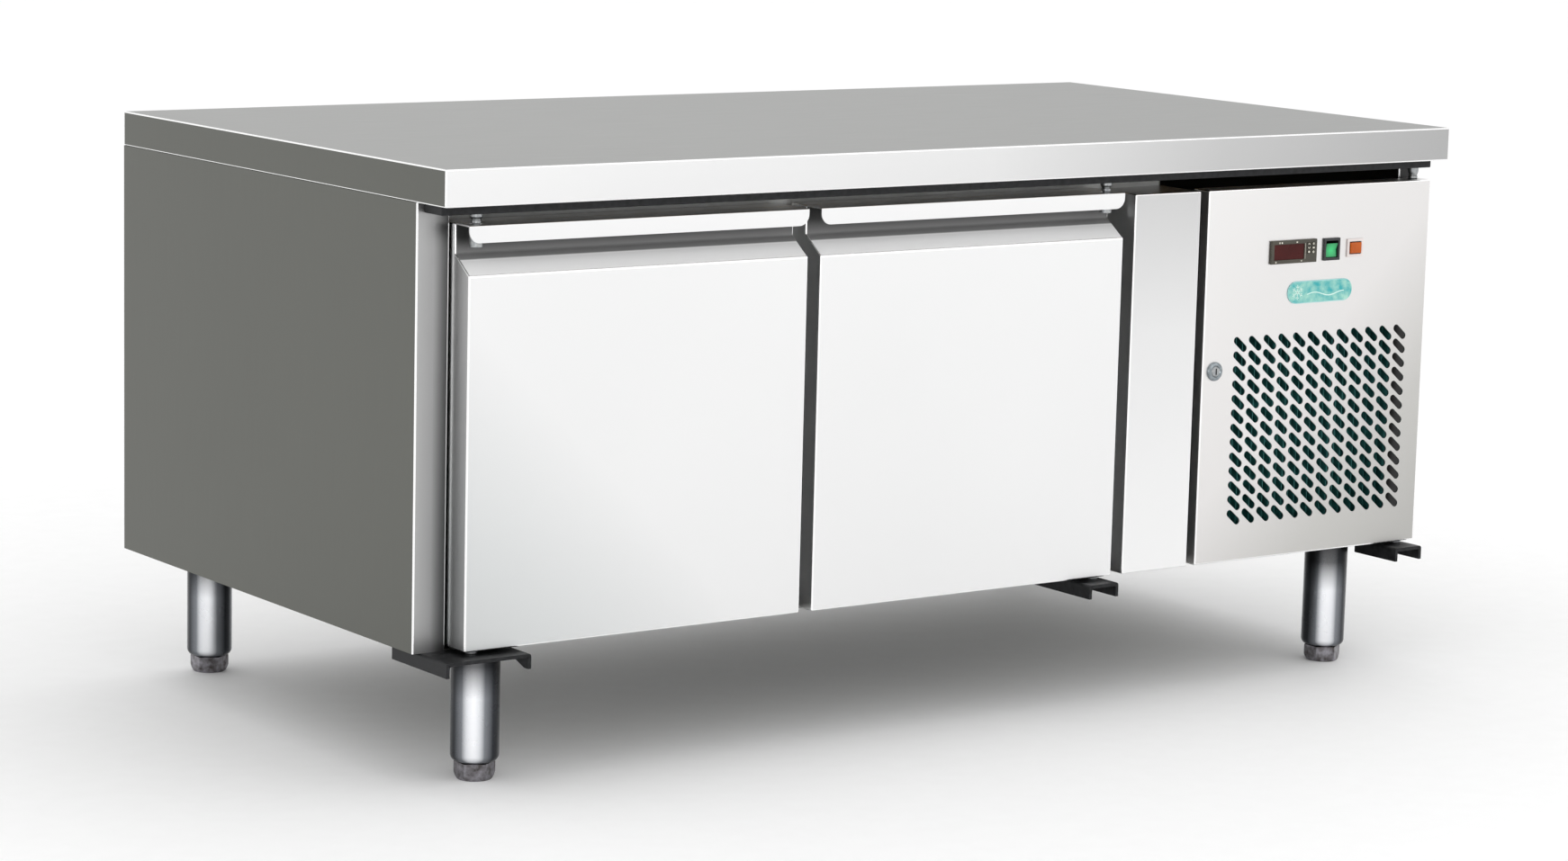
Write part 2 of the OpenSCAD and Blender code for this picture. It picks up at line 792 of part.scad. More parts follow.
// The rocker's cap, stored tipped to one side
module rocker_cap() color("#1f9a5b")
    translate([0, rocker_pivot_y, controls_z]) rotate([rocker_tilt, 0, 0]) {
        run_x([rocker_x - rocker_w / 2, rocker_x + rocker_w / 2])
            polygon([[-rocker_depth, rocker_reach], [2 - rocker_depth, 0],
                [-rocker_depth, -rocker_reach], [4, -3], [4, 3]]);
        rod_x([rocker_x - 10, rocker_x + 10], 0, 0, 1.2);
    }

module pilot_lamp() color("#d8602a") {
    front_box(lamp_x, controls_z, lamp_w, lamp_h, [front_y - 2, front_y]);
    front_box(lamp_x, controls_z, lamp_w - 5, lamp_h - 5, [front_y - 4.5, front_y + 24]);
}

module badge() color("#58c4ae")
    plate_xz([front_y - 1.2, front_y]) translate([badge_x, badge_z]) slot_shape(100, 26);

// ---- cooling unit ----

module unit_base() color(steel)
    difference() {
        block([330, 665], [coil_y1, 235], [unit_floor, unit_floor + 18]);
        block([332, 663], [coil_y1 + 2, 233], [unit_floor + 2, unit_floor + 19]);
    }

module compressor() color(black_plastic)
    translate([compressor_x, compressor_y, unit_floor + 2]) {
        for (x = [-66, 66], y = [-62, 62]) translate([x, y, 0]) cylinder(r = 11, h = 14);
        translate([-80, -74, 13]) cube([160, 148, 4]);
        translate([0, 0, 16]) rotate_extrude() {
            square([72, 130]);
            translate([0, 30]) square([78, 80]);
            translate([0, 129]) square([52, 18]);
        }
        translate([-30, -98, 60]) cube([60, 40, 56]);
    }

module condenser_coil() color(fin_teal) {
    translate([coil_x0, coil_y0, coil_z0])
        fin_coil(coil_x1 - coil_x0, coil_y1 - coil_y0, coil_z1 - coil_z0, 10, 6);
    for (x = [coil_x0 - 2, coil_x1 + 1])
        block([x, x + 2], [coil_y0, coil_y1], [unit_floor, coil_z1 + 4]);
}

module condenser_shroud() color(dark_steel)
    difference() {
        union() {
            block([coil_x0, coil_x1], [coil_y1, coil_y1 + 2], [coil_z0, coil_z1]);
            rod_y(fan_x, [coil_y1 + 1, coil_y1 + 40], fan_z, fan_r + 7);
        }
        rod_y(fan_x, [coil_y1 - 1, coil_y1 + 36], fan_z, fan_r + 5);
        difference() {
            rod_y(fan_x, [coil_y1 + 35, coil_y1 + 41], fan_z, fan_r + 5);
            for (angle = [45, 135])
                translate([fan_x, 0, fan_z]) rotate([0, angle, 0])
                    block([-150, 150], [coil_y1, coil_y1 + 60], [-6, 6]);
        }
        rod_y(fan_x, [coil_y1 + 35, coil_y1 + 41], fan_z, condenser_motor_r);
    }

module condenser_motor() color(black_plastic)
    difference() {
        rod_y(fan_x, [coil_y1 + 36, coil_y1 + 100], fan_z, condenser_motor_r);
        rod_y(fan_x, [coil_y1 + 35, coil_y1 + 56], fan_z, pin_r + running_clearance);
    }

module condenser_fan() color(black_plastic)
    translate([fan_x, coil_y1 + 8, fan_z]) rotate([0, 0, 90])
        fan_wheel(fan_r, 24, 24, 5, 60, 20);

// Copper pipes and the filter drier between the two coils and the compressor
module pipework() color(copper) {
    tube_run([
        [compressor_x + 62, compressor_y, 294], [compressor_x + 62, compressor_y, 380],
        [664, compressor_y, 380], [664, coil_y0 + 22, 380], [coil_x1 + 3, coil_y0 + 22, 380]
    ], 5);
    tube_run([
        [coil_x1 + 3, coil_y0 + 22, 190], [660, coil_y0 + 22, 190], [660, -160, 190],
        [660, 262, 190], [660, liquid_y, liquid_z], [256, liquid_y, liquid_z]
    ], liquid_r);
    rod_y(660, [-140, -20], 190, 15);
    tube_run([
        [256, suction_y, suction_z], [400, suction_y, suction_z], [400, 200, suction_z],
        [400, 200, 260], [compressor_x - 71, compressor_y + 34, 260]
    ], suction_r);
}

module electrical_box() color(white_plastic) {
    block([345, 425], [-120, 10], [unit_floor + 2, unit_floor + 90]);
    block([343, 427], [-122, 12], [unit_floor + 90, unit_floor + 96]);
}

// Gland in the floor of the cooling unit's bay, for the mains cable
module cable_gland() color(black_plastic)
    translate([gland_x, gland_y, 0]) difference() {
        union() {
            translate([0, 0, body_bottom - 10]) cylinder(r = 15, h = 10, $fn = 6);
            rod_z(0, 0, [body_bottom - 16, body_bottom - 9], 12);
            rod_z(0, 0, [body_bottom - 1, unit_floor + 9], gland_r);
            translate([0, 0, unit_floor]) cylinder(r = 14, h = 5, $fn = 6);
        }
        rod_z(0, 0, [-1, unit_floor + 10], gland_bore_r);
    }

// ---- draw the chosen node ----

worktop();
worktop_core();
hinge_rail();
left_side_panel();
right_side_panel();
back_panel();
base_panel();
unit_wall();
insulation();
cavity_liner();
breaker_strips();
centre_post();
front_strip();
shelf_supports();
wire_shelves();
evaporator_coil();
evaporator_cover();
evaporator_motor();
evaporator_fan();
legs();
foot_front_left();
foot_front_right();
foot_back_left();
foot_back_right();
hinge_brackets();
hinge_pins();
unit_base();
compressor();
condenser_coil();
condenser_shroud();
condenser_motor();
condenser_fan();
pipework();
electrical_box();
cable_gland();
door_left_skin();
door_left_core();
door_left_liner();
door_left_gasket();
door_left_bushes();
door_right_skin();
door_right_core();
door_right_liner();
door_right_gasket();
door_right_bushes();
service_panel();
lock_housing();
lock_plug();
controller_case();
controller_window();
key_up();
key_down();
key_set();
key_light();
key_defrost();
key_power();
rocker_frame();
rocker_cap();
pilot_lamp();
badge();
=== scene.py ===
# %% [markdown]
# # A low refrigerated counter, finished in Blender
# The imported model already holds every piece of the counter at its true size, with its hinges,
# keys and feet as working joints. This lesson gives it the look of the real thing. The pieces
# that show are modelled again with the bends, rounded edges and wall thickness of folded sheet,
# and the pieces inside keep their shape and get a proper finish.

# %% Load the frame
import json
from math import cos, hypot, pi, radians, sin

import bpy
from mathutils import Matrix, Vector


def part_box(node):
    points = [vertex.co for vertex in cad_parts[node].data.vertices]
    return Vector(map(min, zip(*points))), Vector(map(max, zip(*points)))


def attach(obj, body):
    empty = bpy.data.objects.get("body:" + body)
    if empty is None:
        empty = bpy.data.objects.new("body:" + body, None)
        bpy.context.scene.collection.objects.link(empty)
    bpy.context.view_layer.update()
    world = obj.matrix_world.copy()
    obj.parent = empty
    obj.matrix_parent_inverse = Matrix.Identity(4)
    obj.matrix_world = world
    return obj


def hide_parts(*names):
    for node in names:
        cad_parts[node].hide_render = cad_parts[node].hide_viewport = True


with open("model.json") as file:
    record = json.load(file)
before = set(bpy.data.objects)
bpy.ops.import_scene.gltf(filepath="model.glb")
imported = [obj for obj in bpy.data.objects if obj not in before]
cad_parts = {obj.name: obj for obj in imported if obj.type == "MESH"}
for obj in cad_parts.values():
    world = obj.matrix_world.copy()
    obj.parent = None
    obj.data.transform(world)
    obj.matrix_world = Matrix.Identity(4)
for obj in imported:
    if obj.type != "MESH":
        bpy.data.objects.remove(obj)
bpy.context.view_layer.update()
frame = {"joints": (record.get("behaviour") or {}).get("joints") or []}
MM = 0.001
ALONG_X, ALONG_Y, ALONG_Z = (1, 0, 0), (0, 1, 0), (0, 0, 1)

# %% [markdown]
# ## The camera
# A camera's direction is easiest to think of as a turn (yaw), a tilt (pitch) and a lean (roll).
# The three vectors worked out from them are the columns of the camera's matrix, which avoids
# any doubt about the order of Euler angles. The long lens keeps the counter's edges nearly parallel.

# %% Place the camera
EYE = Vector((-2.757, -3.833, 1.042))
YAW, PITCH, ROLL = -0.621, -0.160, 0.025
LENS = 95.03

forward = Vector((-sin(YAW) * cos(PITCH), cos(YAW) * cos(PITCH), sin(PITCH)))
level = Vector((cos(YAW), sin(YAW), 0))
above = level.cross(forward)
right = level * cos(ROLL) + above * sin(ROLL)
up = above * cos(ROLL) - level * sin(ROLL)

bpy.ops.object.camera_add()
camera = bpy.context.object
camera.name = "camera"
camera.matrix_world = Matrix.Translation(EYE) @ Matrix((right, up, -forward)).transposed().to_4x4()
camera.data.lens = LENS
camera.data.sensor_fit = "HORIZONTAL"
camera.data.clip_end = 200
bpy.context.scene.camera = camera
print("the camera looks along", [round(value, 3) for value in forward])

# %% [markdown]
# ## Colours and nodes
# Colours are picked as sRGB hex values, the way a paint chart or an image program gives them.
# Shaders work in linear light, so one function converts them. Every material is then built from
# one small helper that adds a node, sets it and links it.

# %% Helpers for colours and nodes
def linear(hex_colour):
    """An sRGB hex colour as linear red, green, blue and alpha."""
    parts = [int(hex_colour[i:i + 2], 16) / 255 for i in (1, 3, 5)]
    return [v / 12.92 if v <= 0.04045 else ((v + 0.055) / 1.055) ** 2.4 for v in parts] + [1]


def add_node(material, kind, settings=None, links=None):
    """Add a node. Settings go to its properties or its inputs; links name a node and its output."""
    tree = material.node_tree
    node = tree.nodes.new("ShaderNode" + kind)
    for name, value in (settings or {}).items():
        if isinstance(name, str) and name.islower():
            setattr(node, name, value)
        else:
            node.inputs[name].default_value = value
    for name, (source, output) in (links or {}).items():
        tree.links.new(source.outputs[output], node.inputs[name])
    return node


def new_material(name):
    """A material with no nodes yet."""
    material = bpy.data.materials.new(name)
    material.use_nodes = True
    material.node_tree.nodes.clear()
    return material


def end_material(material, surface, links=None):
    """Make the Principled shader from its sockets, and join it to the output."""
    shader = add_node(material, "BsdfPrincipled", surface, links)
    add_node(material, "OutputMaterial", links={"Surface": (shader, "BSDF")})
    return material


def pattern(material, scale, detail=3, kind="TexNoise"):
    """A texture on Object coordinates. The scale gives its repeats per metre along X, Y and Z."""
    place = add_node(material, "TexCoord")
    size = add_node(material, "Mapping", {"Scale": scale}, {"Vector": (place, "Object")})
    settings = {"Scale": 1, "Detail": detail} if kind == "TexNoise" else {"Scale": 1}
    return add_node(material, kind, settings, {"Vector": (size, "Vector")})


def between(material, source, low, high, output="Fac"):
    """Turn a texture's 0.3 to 0.7 into numbers from low to high."""
    spread = {"From Min": 0.3, "From Max": 0.7, "To Min": low, "To Max": high}
    return add_node(material, "MapRange", spread, {"Value": (source, output)})


def blend_colours(material, source, dark, light, output="Result"):
    """Mix two hex colours by a number from 0 to 1."""
    colours = {"data_type": "RGBA", 6: linear(dark), 7: linear(light)}
    return add_node(material, "Mix", colours, {0: (source, output)})


def laid_colours(material, along, stops):
    """Colours that follow a direction. A stop is a distance from the origin in mm and a colour."""
    place = add_node(material, "TexCoord")
    reach = add_node(material, "VectorMath", {"operation": "DOT_PRODUCT", 1: along},
                     {0: (place, "Object")})
    start, end = stops[0][0], stops[-1][0]
    spread = add_node(material, "MapRange", {"From Min": start * MM, "From Max": end * MM},
                      {"Value": (reach, "Value")})
    ramp = add_node(material, "ValToRGB", links={"Fac": (spread, "Result")})
    for distance, colour in stops[1:-1]:
        ramp.color_ramp.elements.new((distance - start) / (end - start))
    for element, (distance, colour) in zip(ramp.color_ramp.elements, stops):
        element.color = linear(colour)
    return ramp


print("pure white is", linear("#ffffff"), "and mid grey is", round(linear("#808080")[0], 3))

# %% [markdown]
# ## Satin stainless sheet
# Kitchen equipment is folded from scratch-brushed stainless steel. Brushing leaves fine parallel
# lines, so the noise is stretched a hundred times longer along the grain than across it. It
# drives a little bump and a little roughness; a second, large noise is the faint cloudiness that
# wiping leaves. In a studio such sheet shows slow shades from side to side, because it mirrors
# flags and screens. Here those shades are painted into the colour, laid along a direction of each
# sheet: painted shade darker towards a post's door, under the finger lip, at the top of the strip,
# to the lower left of the fronts and to the lower right of the service panel, and painted light on
# the door's shoulder. The fronts and the front edge are painted lit copies of one steel, the top,
# the sides and the post painted shaded copies, and the bends carry a painted highlight.

# %% Satin stainless
GRAIN_GAP = 0.8 * MM
GRAIN_LENGTH = 90 * MM
CLOUD_SIZE = 400 * MM


def satin_stainless(name, stops, roughness, grain=2, along=ALONG_X, metallic=1.0):
    """Brushed sheet, grain along axis 0, 1 or 2; the stops paint light and shade along a line."""
    material = new_material(name)
    scale = [1 / GRAIN_GAP] * 3
    scale[grain] = 1 / GRAIN_LENGTH
    lines = pattern(material, scale, 2)
    clouds = pattern(material, [1 / CLOUD_SIZE] * 3, 2)
    if isinstance(stops, str):
        stops = [(-1000, stops), (1000, stops)]
    shade = laid_colours(material, along, stops)
    wiped = between(material, clouds, 0.97, 1.0)
    colour = add_node(material, "Mix", {"data_type": "RGBA", "blend_type": "MULTIPLY", 0: 1.0},
                      {6: (shade, "Color"), 7: (wiped, "Result")})
    gloss = between(material, lines, roughness - 0.02, roughness + 0.03)
    relief = add_node(material, "Bump", {"Strength": 0.06, "Distance": 0.02 * MM},
                      {"Height": (lines, "Fac")})
    return end_material(material, {"Metallic": metallic}, {
        "Base Color": (colour, 2), "Roughness": (gloss, "Result"), "Normal": (relief, "Normal")})


# The fronts are a painted lit copy of the steel, with painted shade towards their lower left.
front_steel = satin_stainless("lit_stainless_fronts_painted_shade",
                              [(-500, "#cbcdcd"), (-380, "#d5d7d7"), (-150, "#e9e9e9"),
                               (600, "#e9e9e9")], 0.30, along=(1, 0, 1))
# Painted shade and light: the recess darkens up under the finger lip to near black, and the shoulder
# below it is painted white.
recess_steel = satin_stainless("shaded_stainless_recess",
                               [(522, "#ffffff"), (543, "#f4f4f4"), (544, "#ffffff"),
                                (545, "#8a8a8a"), (557, "#5c5c5c"), (566, "#2b2b2b"),
                                (580, "#242424")], 0.45, along=ALONG_Z, metallic=0.1)
# The strip carries a painted shadow of the worktop, darker towards its top.
shadowed_strip_steel = satin_stainless("painted_shadow_stainless_strip", [(150, "#eeeeee"), (420, "#e0e0e0"),
                                                        (575, "#c9c9c9")], 0.30, along=ALONG_Z)
# The service panel's steel is a little warm, with painted shade towards its lower right.
warm_shaded_steel = satin_stainless("painted_shade_stainless_service_panel",
                             [(-330, "#e7e6e5"), (120, "#dfdddc"), (330, "#c3c2bf"),
                              (500, "#b6b5b2")], 0.32, along=(1, 0, -1))
# The worktop's top is a painted shaded copy of the steel, darker than the fronts and a little darker
# to the right.
worktop_steel = satin_stainless("shaded_stainless_worktop", [(-680, "#727370"), (680, "#6a6b68")],
                                0.30, grain=0)
# The worktop's front edge is a painted lit copy of the steel, with the painted light fading to the
# right.
lit_edge_steel = satin_stainless("lit_stainless_front_edge",
                             [(-680, "#e6e6e6"), (0, "#dadada"), (330, "#bebebe"),
                              (680, "#adadad")], 0.30, grain=0)
# The sides and the back are a painted shaded copy of the steel.
shaded_side_steel = satin_stainless("shaded_stainless_sides", "#676863", 0.36)
# The post has painted shade: pale at its corner, dark towards the door.
shaded_post_steel = satin_stainless("painted_shade_stainless_post", [(-680, "#aeaeae"), (-660, "#9c9c9c"),
                                                      (-650, "#6c6c6c"), (-641, "#363636")],
                             0.34)
liner_steel = satin_stainless("plain_stainless_liner", "#c3c5c6", 0.30)
# The bends carry a painted highlight: a near-white, glossier copy of the steel.
bend_highlight = satin_stainless("painted_fold_highlights", "#fdfdfd", 0.22)
print("steel finishes:", [m.name for m in bpy.data.materials if "stainless" in m.name])

# %% [markdown]
# ## Other metals
# The legs are bright drawn tube, the feet, the lock ring and the wire shelves are chromed, and the
# hinge pins are zinc plated, which is duller and a little mottled. The rail and the brackets are
# phosphated steel: nearly black, with greyer rubbed patches. The pipes are bare copper, with the
# brown of handling, and the fins are coated against corrosion.

# %% Metals
def mottled_metal(name, dark, light, low, high, spot, metallic=1.0, relief=0.0):
    """A metal whose colour and roughness drift in patches of the given size."""
    material = new_material(name)
    patches = pattern(material, [1 / spot] * 3, 4)
    amount = between(material, patches, 0, 1)
    colour = blend_colours(material, amount, dark, light)
    gloss = between(material, patches, low, high)
    links = {"Base Color": (colour, 2), "Roughness": (gloss, "Result")}
    if relief:
        bump = add_node(material, "Bump", {"Strength": 0.4, "Distance": relief},
                        {"Height": (patches, "Fac")})
        links["Normal"] = (bump, "Normal")
    return end_material(material, {"Metallic": metallic}, links)


chrome = mottled_metal("chromium_plate", "#b4b6ba", "#c4c6ca", 0.08, 0.14, 12 * MM)
lock_chrome = mottled_metal("dulled_chromium_lock", "#7d8488", "#9da4a8", 0.12, 0.2, 4 * MM)
zinc = mottled_metal("zinc_plate", "#8f9296", "#b3b5b4", 0.30, 0.42, 3 * MM)
phosphate = mottled_metal("phosphated_steel", "#141516", "#2c2d2f", 0.4, 0.55, 7 * MM, 0.6,
                          0.05 * MM)
copper = mottled_metal("bare_copper_tube", "#8f4f30", "#c07a4e", 0.25, 0.42, 18 * MM)
fins = mottled_metal("coated_aluminium_fins", "#2f6f6c", "#43908c", 0.35, 0.5, 9 * MM, 0.35)
enamel = mottled_metal("black_stove_enamel", "#0b0c0d", "#17191a", 0.25, 0.4, 6 * MM, 0.0,
                       0.05 * MM)


# %% [markdown]
# ## Bright tube, with painted reflection and shade
# A bright round tube in a studio tent shows a soft white stripe between the dark flags at its
# sides, and goes dark under the cabinet. This studio has no flags, so they are painted into the
# tube's colour: a painted reflection that follows the place round the tube, and a painted shade
# that darkens it towards the top. Three painted stripes, a third of a turn apart, show one from
# any side. One material serves all four legs: the signs of a point's coordinates tell its corner,
# and so the axis of its leg.

# %% Striped tube
def striped_tube(name, middle, apart, radius, toward, stripe, fade, roughness):
    """Four tubes, each apart from the middle, with three painted highlight stripes; stops are share
    and colour.

    The share is how far a point lies towards the middle of a stripe, as a part of the radius.
    """
    material = new_material(name)
    place = add_node(material, "TexCoord")
    corner = add_node(material, "VectorMath", {"operation": "SIGN"}, {0: (place, "Object")})
    axis = add_node(material, "VectorMath", {"operation": "MULTIPLY_ADD", 1: apart, 2: middle},
                    {0: (corner, "Vector")})
    spoke = add_node(material, "VectorMath", {"operation": "SUBTRACT"},
                     {0: (place, "Object"), 1: (axis, "Vector")})
    share = add_node(material, "Value")
    for turn in (0, 120, 240):
        way = Matrix.Rotation(radians(turn), 3, "Z") @ Vector(toward) / radius
        facing = add_node(material, "VectorMath", {"operation": "DOT_PRODUCT", 1: way},
                          {0: (spoke, "Vector")})
        share = add_node(material, "Math", {"operation": "MAXIMUM"},
                         {0: (share, "Value"), 1: (facing, "Value")})
    ramp = add_node(material, "ValToRGB", links={"Fac": (share, "Value")})
    for position, colour in stripe[1:-1]:
        ramp.color_ramp.elements.new(position)
    for element, (position, colour) in zip(ramp.color_ramp.elements, stripe):
        element.color = linear(colour)
    shade = laid_colours(material, ALONG_Z, fade)
    colour = add_node(material, "Mix", {"data_type": "RGBA", "blend_type": "MULTIPLY", 0: 1.0},
                      {6: (ramp, "Color"), 7: (shade, "Color")})
    wear = pattern(material, [1 / (20 * MM)] * 3, 4)
    gloss = between(material, wear, roughness, roughness + 0.05)
    return end_material(material, {"Metallic": 1.0}, {
        "Base Color": (colour, 2), "Roughness": (gloss, "Result")})


LEG_RADIUS = 25.4 * MM
front_leg, back_leg = [sum(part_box(foot), Vector()) / 2
                       for foot in ("foot_front_left", "foot_back_right")]
# The legs' colour is painted reflection and shade: a white stripe between dark sides, and darkening
# towards the top under the cabinet.
leg_steel = striped_tube("bright_tube_painted_reflection", (front_leg + back_leg) / 2,
                         (back_leg - front_leg) / 2, LEG_RADIUS, (-0.58, -0.81, 0),
                         [(0, "#2c2d30"), (0.62, "#3a3c40"), (0.88, "#85888d"),
                          (0.965, "#e9ebef"), (1, "#fbfcff")],
                         [(18, "#ffffff"), (88, "#ffffff"), (122, "#6a6a6a"), (140, "#4a4a4a")],
                         0.24)
# The feet's chrome is darker and lighter in patches of about 8 mm.
foot_chrome = mottled_metal("patchy_dark_chrome_feet", "#4d4846", "#a5a3aa", 0.10, 0.2, 8 * MM)
print("metals made:", leg_steel.name, chrome.name, zinc.name, phosphate.name)

# %% [markdown]
# ## Plastics, foam and rubber
# Moulded parts take a fine spark-eroded texture from their tool. Its grains are about 0.1 mm;
# here they are 0.4 mm, the finest that a close view shows. The foam is full of bubbles and the
# chipboard is pressed from flakes, so both use cells instead of clouds.

# %% Plastics, foam and rubber
def moulded(name, dark, light, roughness, grit=0.4 * MM, relief=0.03 * MM, **surface):
    """A moulded material with a fine texture and a slight drift of colour."""
    material = new_material(name)
    texture = pattern(material, [1 / grit] * 3, 2)
    drift = pattern(material, [1 / (30 * MM)] * 3, 2)
    colour = blend_colours(material, between(material, drift, 0, 1), dark, light)
    gloss = between(material, texture, roughness - 0.04, roughness + 0.05)
    bump = add_node(material, "Bump", {"Strength": 0.3, "Distance": relief},
                    {"Height": (texture, "Fac")})
    return end_material(material, surface, {
        "Base Color": (colour, 2), "Roughness": (gloss, "Result"), "Normal": (bump, "Normal")})


def cellular(name, dark, light, cell, relief):
    """A material made of small cells or flakes, such as foam or chipboard."""
    material = new_material(name)
    cells = pattern(material, [1 / cell] * 3, kind="TexVoronoi")
    colour = blend_colours(material, cells, dark, light, "Distance")
    bump = add_node(material, "Bump", {"Strength": 0.6, "Distance": relief},
                    {"Height": (cells, "Distance")})
    return end_material(material, {"Roughness": 0.85}, {
        "Base Color": (colour, 2), "Normal": (bump, "Normal")})


white_plastic = moulded("moulded_white_polystyrene", "#dcdedd", "#e8eae9", 0.42)
pale_plastic = moulded("moulded_pale_nylon", "#d9cfcc", "#e6dedb", 0.40)
black_plastic = moulded("moulded_black_nylon", "#1c1e20", "#2a2c2e", 0.45)
bezel_plastic = moulded("moulded_olive_abs", "#37342a", "#433f33", 0.38)
mark_plastic = moulded("printed_pale_marks", "#dedacb", "#eeeadc", 0.5)
seal_rubber = moulded("grey_vinyl_seal", "#7d8182", "#8c9091", 0.55, 1.2 * MM, 0.08 * MM)
foam = cellular("polyurethane_foam", "#cdbb86", "#e7dcb0", 1.5 * MM, 0.4 * MM)
board = cellular("chipboard", "#93703f", "#cba878", 3.5 * MM, 0.3 * MM)
badge_film = mottled_metal("printed_badge_film", "#2aa5a9", "#a4d6c6", 0.28, 0.34, 9 * MM, 0.0)
badge_rim = moulded("badge_resin_rim", "#8fc9c9", "#b4dcda", 0.25)
badge_print = moulded("pale_badge_print", "#cdeee2", "#dff5ec", 0.35)
window_plastic = moulded("smoked_red_window", "#3a0f0d", "#481614", 0.3, 6 * MM, 0.0,
                         **{"Specular IOR Level": 0.15})
orange_lens = moulded("amber_lens", "#ad4c08", "#c45e12", 0.22, 1.5 * MM, 0.1 * MM,
                      **{"Specular IOR Level": 0.3})
print("plastics made, the window's shine is turned down to 0.15")

# %% [markdown]
# ## The green lamp cap
# The switch glows from a small lamp behind its middle, so the colour is brightest there and falls
# off to the edges. Object coordinates are in metres from the counter's origin, so a Mapping node
# first moves the pattern onto the cap, and a spherical gradient does the rest.

# %% Lit green cap
def lit_cap(name, centre, reach, edge, middle, power):
    """A translucent cap lit from behind its centre; reach is where the light has faded."""
    material = new_material(name)
    place = add_node(material, "TexCoord")
    move = {"vector_type": "TEXTURE", "Location": centre, "Scale": reach}
    moved = add_node(material, "Mapping", move, {"Vector": (place, "Object")})
    glow = add_node(material, "TexGradient", {"gradient_type": "SPHERICAL"},
                    {"Vector": (moved, "Vector")})
    colour = blend_colours(material, glow, edge, middle, "Color")
    return end_material(material, {"Roughness": 0.3, "Emission Strength": power}, {
        "Base Color": (colour, 2), "Emission Color": (colour, 2)})


cap_low, cap_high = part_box("rocker_cap")
cap_middle = (cap_low + cap_high) / 2
cap_middle.y = cap_low.y
green_lens = lit_cap("lit_green_cap", cap_middle, (15 * MM, 60 * MM, 15 * MM), "#0b4a2c",
                     "#2fb86c", 0.30)
print("the cap's light is centred at", [round(value, 4) for value in cap_middle])

# %% [markdown]
# ## The floor, the light and the air
# A pale floor reaches far past the picture, because a satin front shows what lies in front of it.
# The fronts mirror the floor ahead and to their right, so that side gets the widest soft light.
# A tall narrow light beside the camera brightens the stripe that the round legs carry.

# %% Floor, lights and world
def softbox(name, place, target, size, watts):
    """A rectangular area light that points at a target and stays out of the picture."""
    bpy.ops.object.light_add(type="AREA", location=place)
    light = bpy.context.object
    light.name = name
    light.rotation_euler = (Vector(target) - Vector(place)).to_track_quat("-Z", "Y").to_euler()
    light.data.shape = "RECTANGLE"
    light.data.size, light.data.size_y = size
    light.data.energy = watts
    light.visible_camera = False


bpy.ops.mesh.primitive_plane_add(size=120)
floor = bpy.context.object
floor.name = "floor"
floor.data.materials.append(moulded("pale_painted_floor", "#fbfbfb", "#fdfdfd", 0.7, 4 * MM, 0.0))

softbox("front softbox", (2.4, -4.2, 1.6), (0.4, 0.0, 0.3), (3.4, 2.6), 12)
softbox("overhead softbox", (0.6, -1.0, 4.2), (0.0, 0.0, 0.3), (3.0, 3.0), 8)
softbox("leg stripe light", (-2.9, -3.2, 0.7), (-0.2, -0.2, 0.2), (0.3, 1.4), 8)

world = bpy.data.worlds.new("studio air")
bpy.context.scene.world = world
world.use_nodes = True
world.node_tree.nodes["Background"].inputs["Color"].default_value = linear("#ffffff")
world.node_tree.nodes["Background"].inputs["Strength"].default_value = 1.04
bpy.context.scene.view_settings.view_transform = "Standard"
print("three soft lights and a world strength of 1.04")

# %% [markdown]
# ## Modelling helpers
# Operators act on whatever is selected, so each helper first selects its own piece alone. In edit
# mode, faces, edges or points are picked by a test on their place or direction, which is the
# scripted form of clicking on them.

# %% Select, edit and apply
def only(piece):
    """Select one piece alone and make it active."""
    bpy.ops.object.select_all(action="DESELECT")
    piece.select_set(True)
    bpy.context.view_layer.objects.active = piece


def edit(piece, kind="FACE", test=None):
    """Enter edit mode with what passes the test selected, or everything if there is none."""
    only(piece)
    bpy.ops.object.mode_set(mode="EDIT")
    bpy.ops.mesh.select_mode(type=kind)
    bpy.ops.mesh.select_all(action="DESELECT" if test else "SELECT")
    if not test:
        return
    bpy.ops.object.mode_set(mode="OBJECT")
    points = [vertex.co.copy() for vertex in piece.data.vertices]
    if kind == "VERT":
        for vertex in piece.data.vertices:
            vertex.select = test(vertex.co)
    elif kind == "EDGE":
        for edge in piece.data.edges:
            edge.select = test(*[points[i] for i in edge.vertices])
    else:
        for face in piece.data.polygons:
            face.select = test(face.center, face.normal)
    bpy.ops.object.mode_set(mode="EDIT")


def leave():
    """Back to object mode."""
    bpy.ops.object.mode_set(mode="OBJECT")


def shape(piece, kind, test, operator, **settings):
    """Run one operator of edit mode on what passes the test, or on everything."""
    edit(piece, kind, test)
    operator(**settings)
    leave()


def apply_modifier(piece, kind, **settings):
    """Add a modifier with its settings and apply it."""
    modifier = piece.modifiers.new(kind.lower(), kind)
    for name, value in settings.items():
        setattr(modifier, name, value)
    only(piece)
    bpy.ops.object.modifier_apply(modifier=modifier.name)


def join(name, pieces):
    """Several meshes as one piece."""
    only(pieces[0])
    for piece in pieces:
        piece.select_set(True)
    bpy.ops.object.join()
    pieces[0].name = pieces[0].data.name = name
    return pieces[0]


print("selection helpers ready")

# %% [markdown]
# ## Blocks, bends and walls
# Most of the counter is sheet. A closed pan starts as a block whose open side is deleted; a panel
# with open ends starts as a line of points drawn round its bends and swept along its length. In
# both, the bends are rounded with a bevel, and Solidify then gives the sheet its thickness inwards,
# so that the outside stays where the frame says.

# %% Blocks, pans and folded sheets
def name_it(name):
    """Name the new primitive and put its place into its mesh."""
    piece = bpy.context.object
    piece.name = piece.data.name = name
    bpy.ops.object.transform_apply(location=True, rotation=True, scale=True)
    return piece


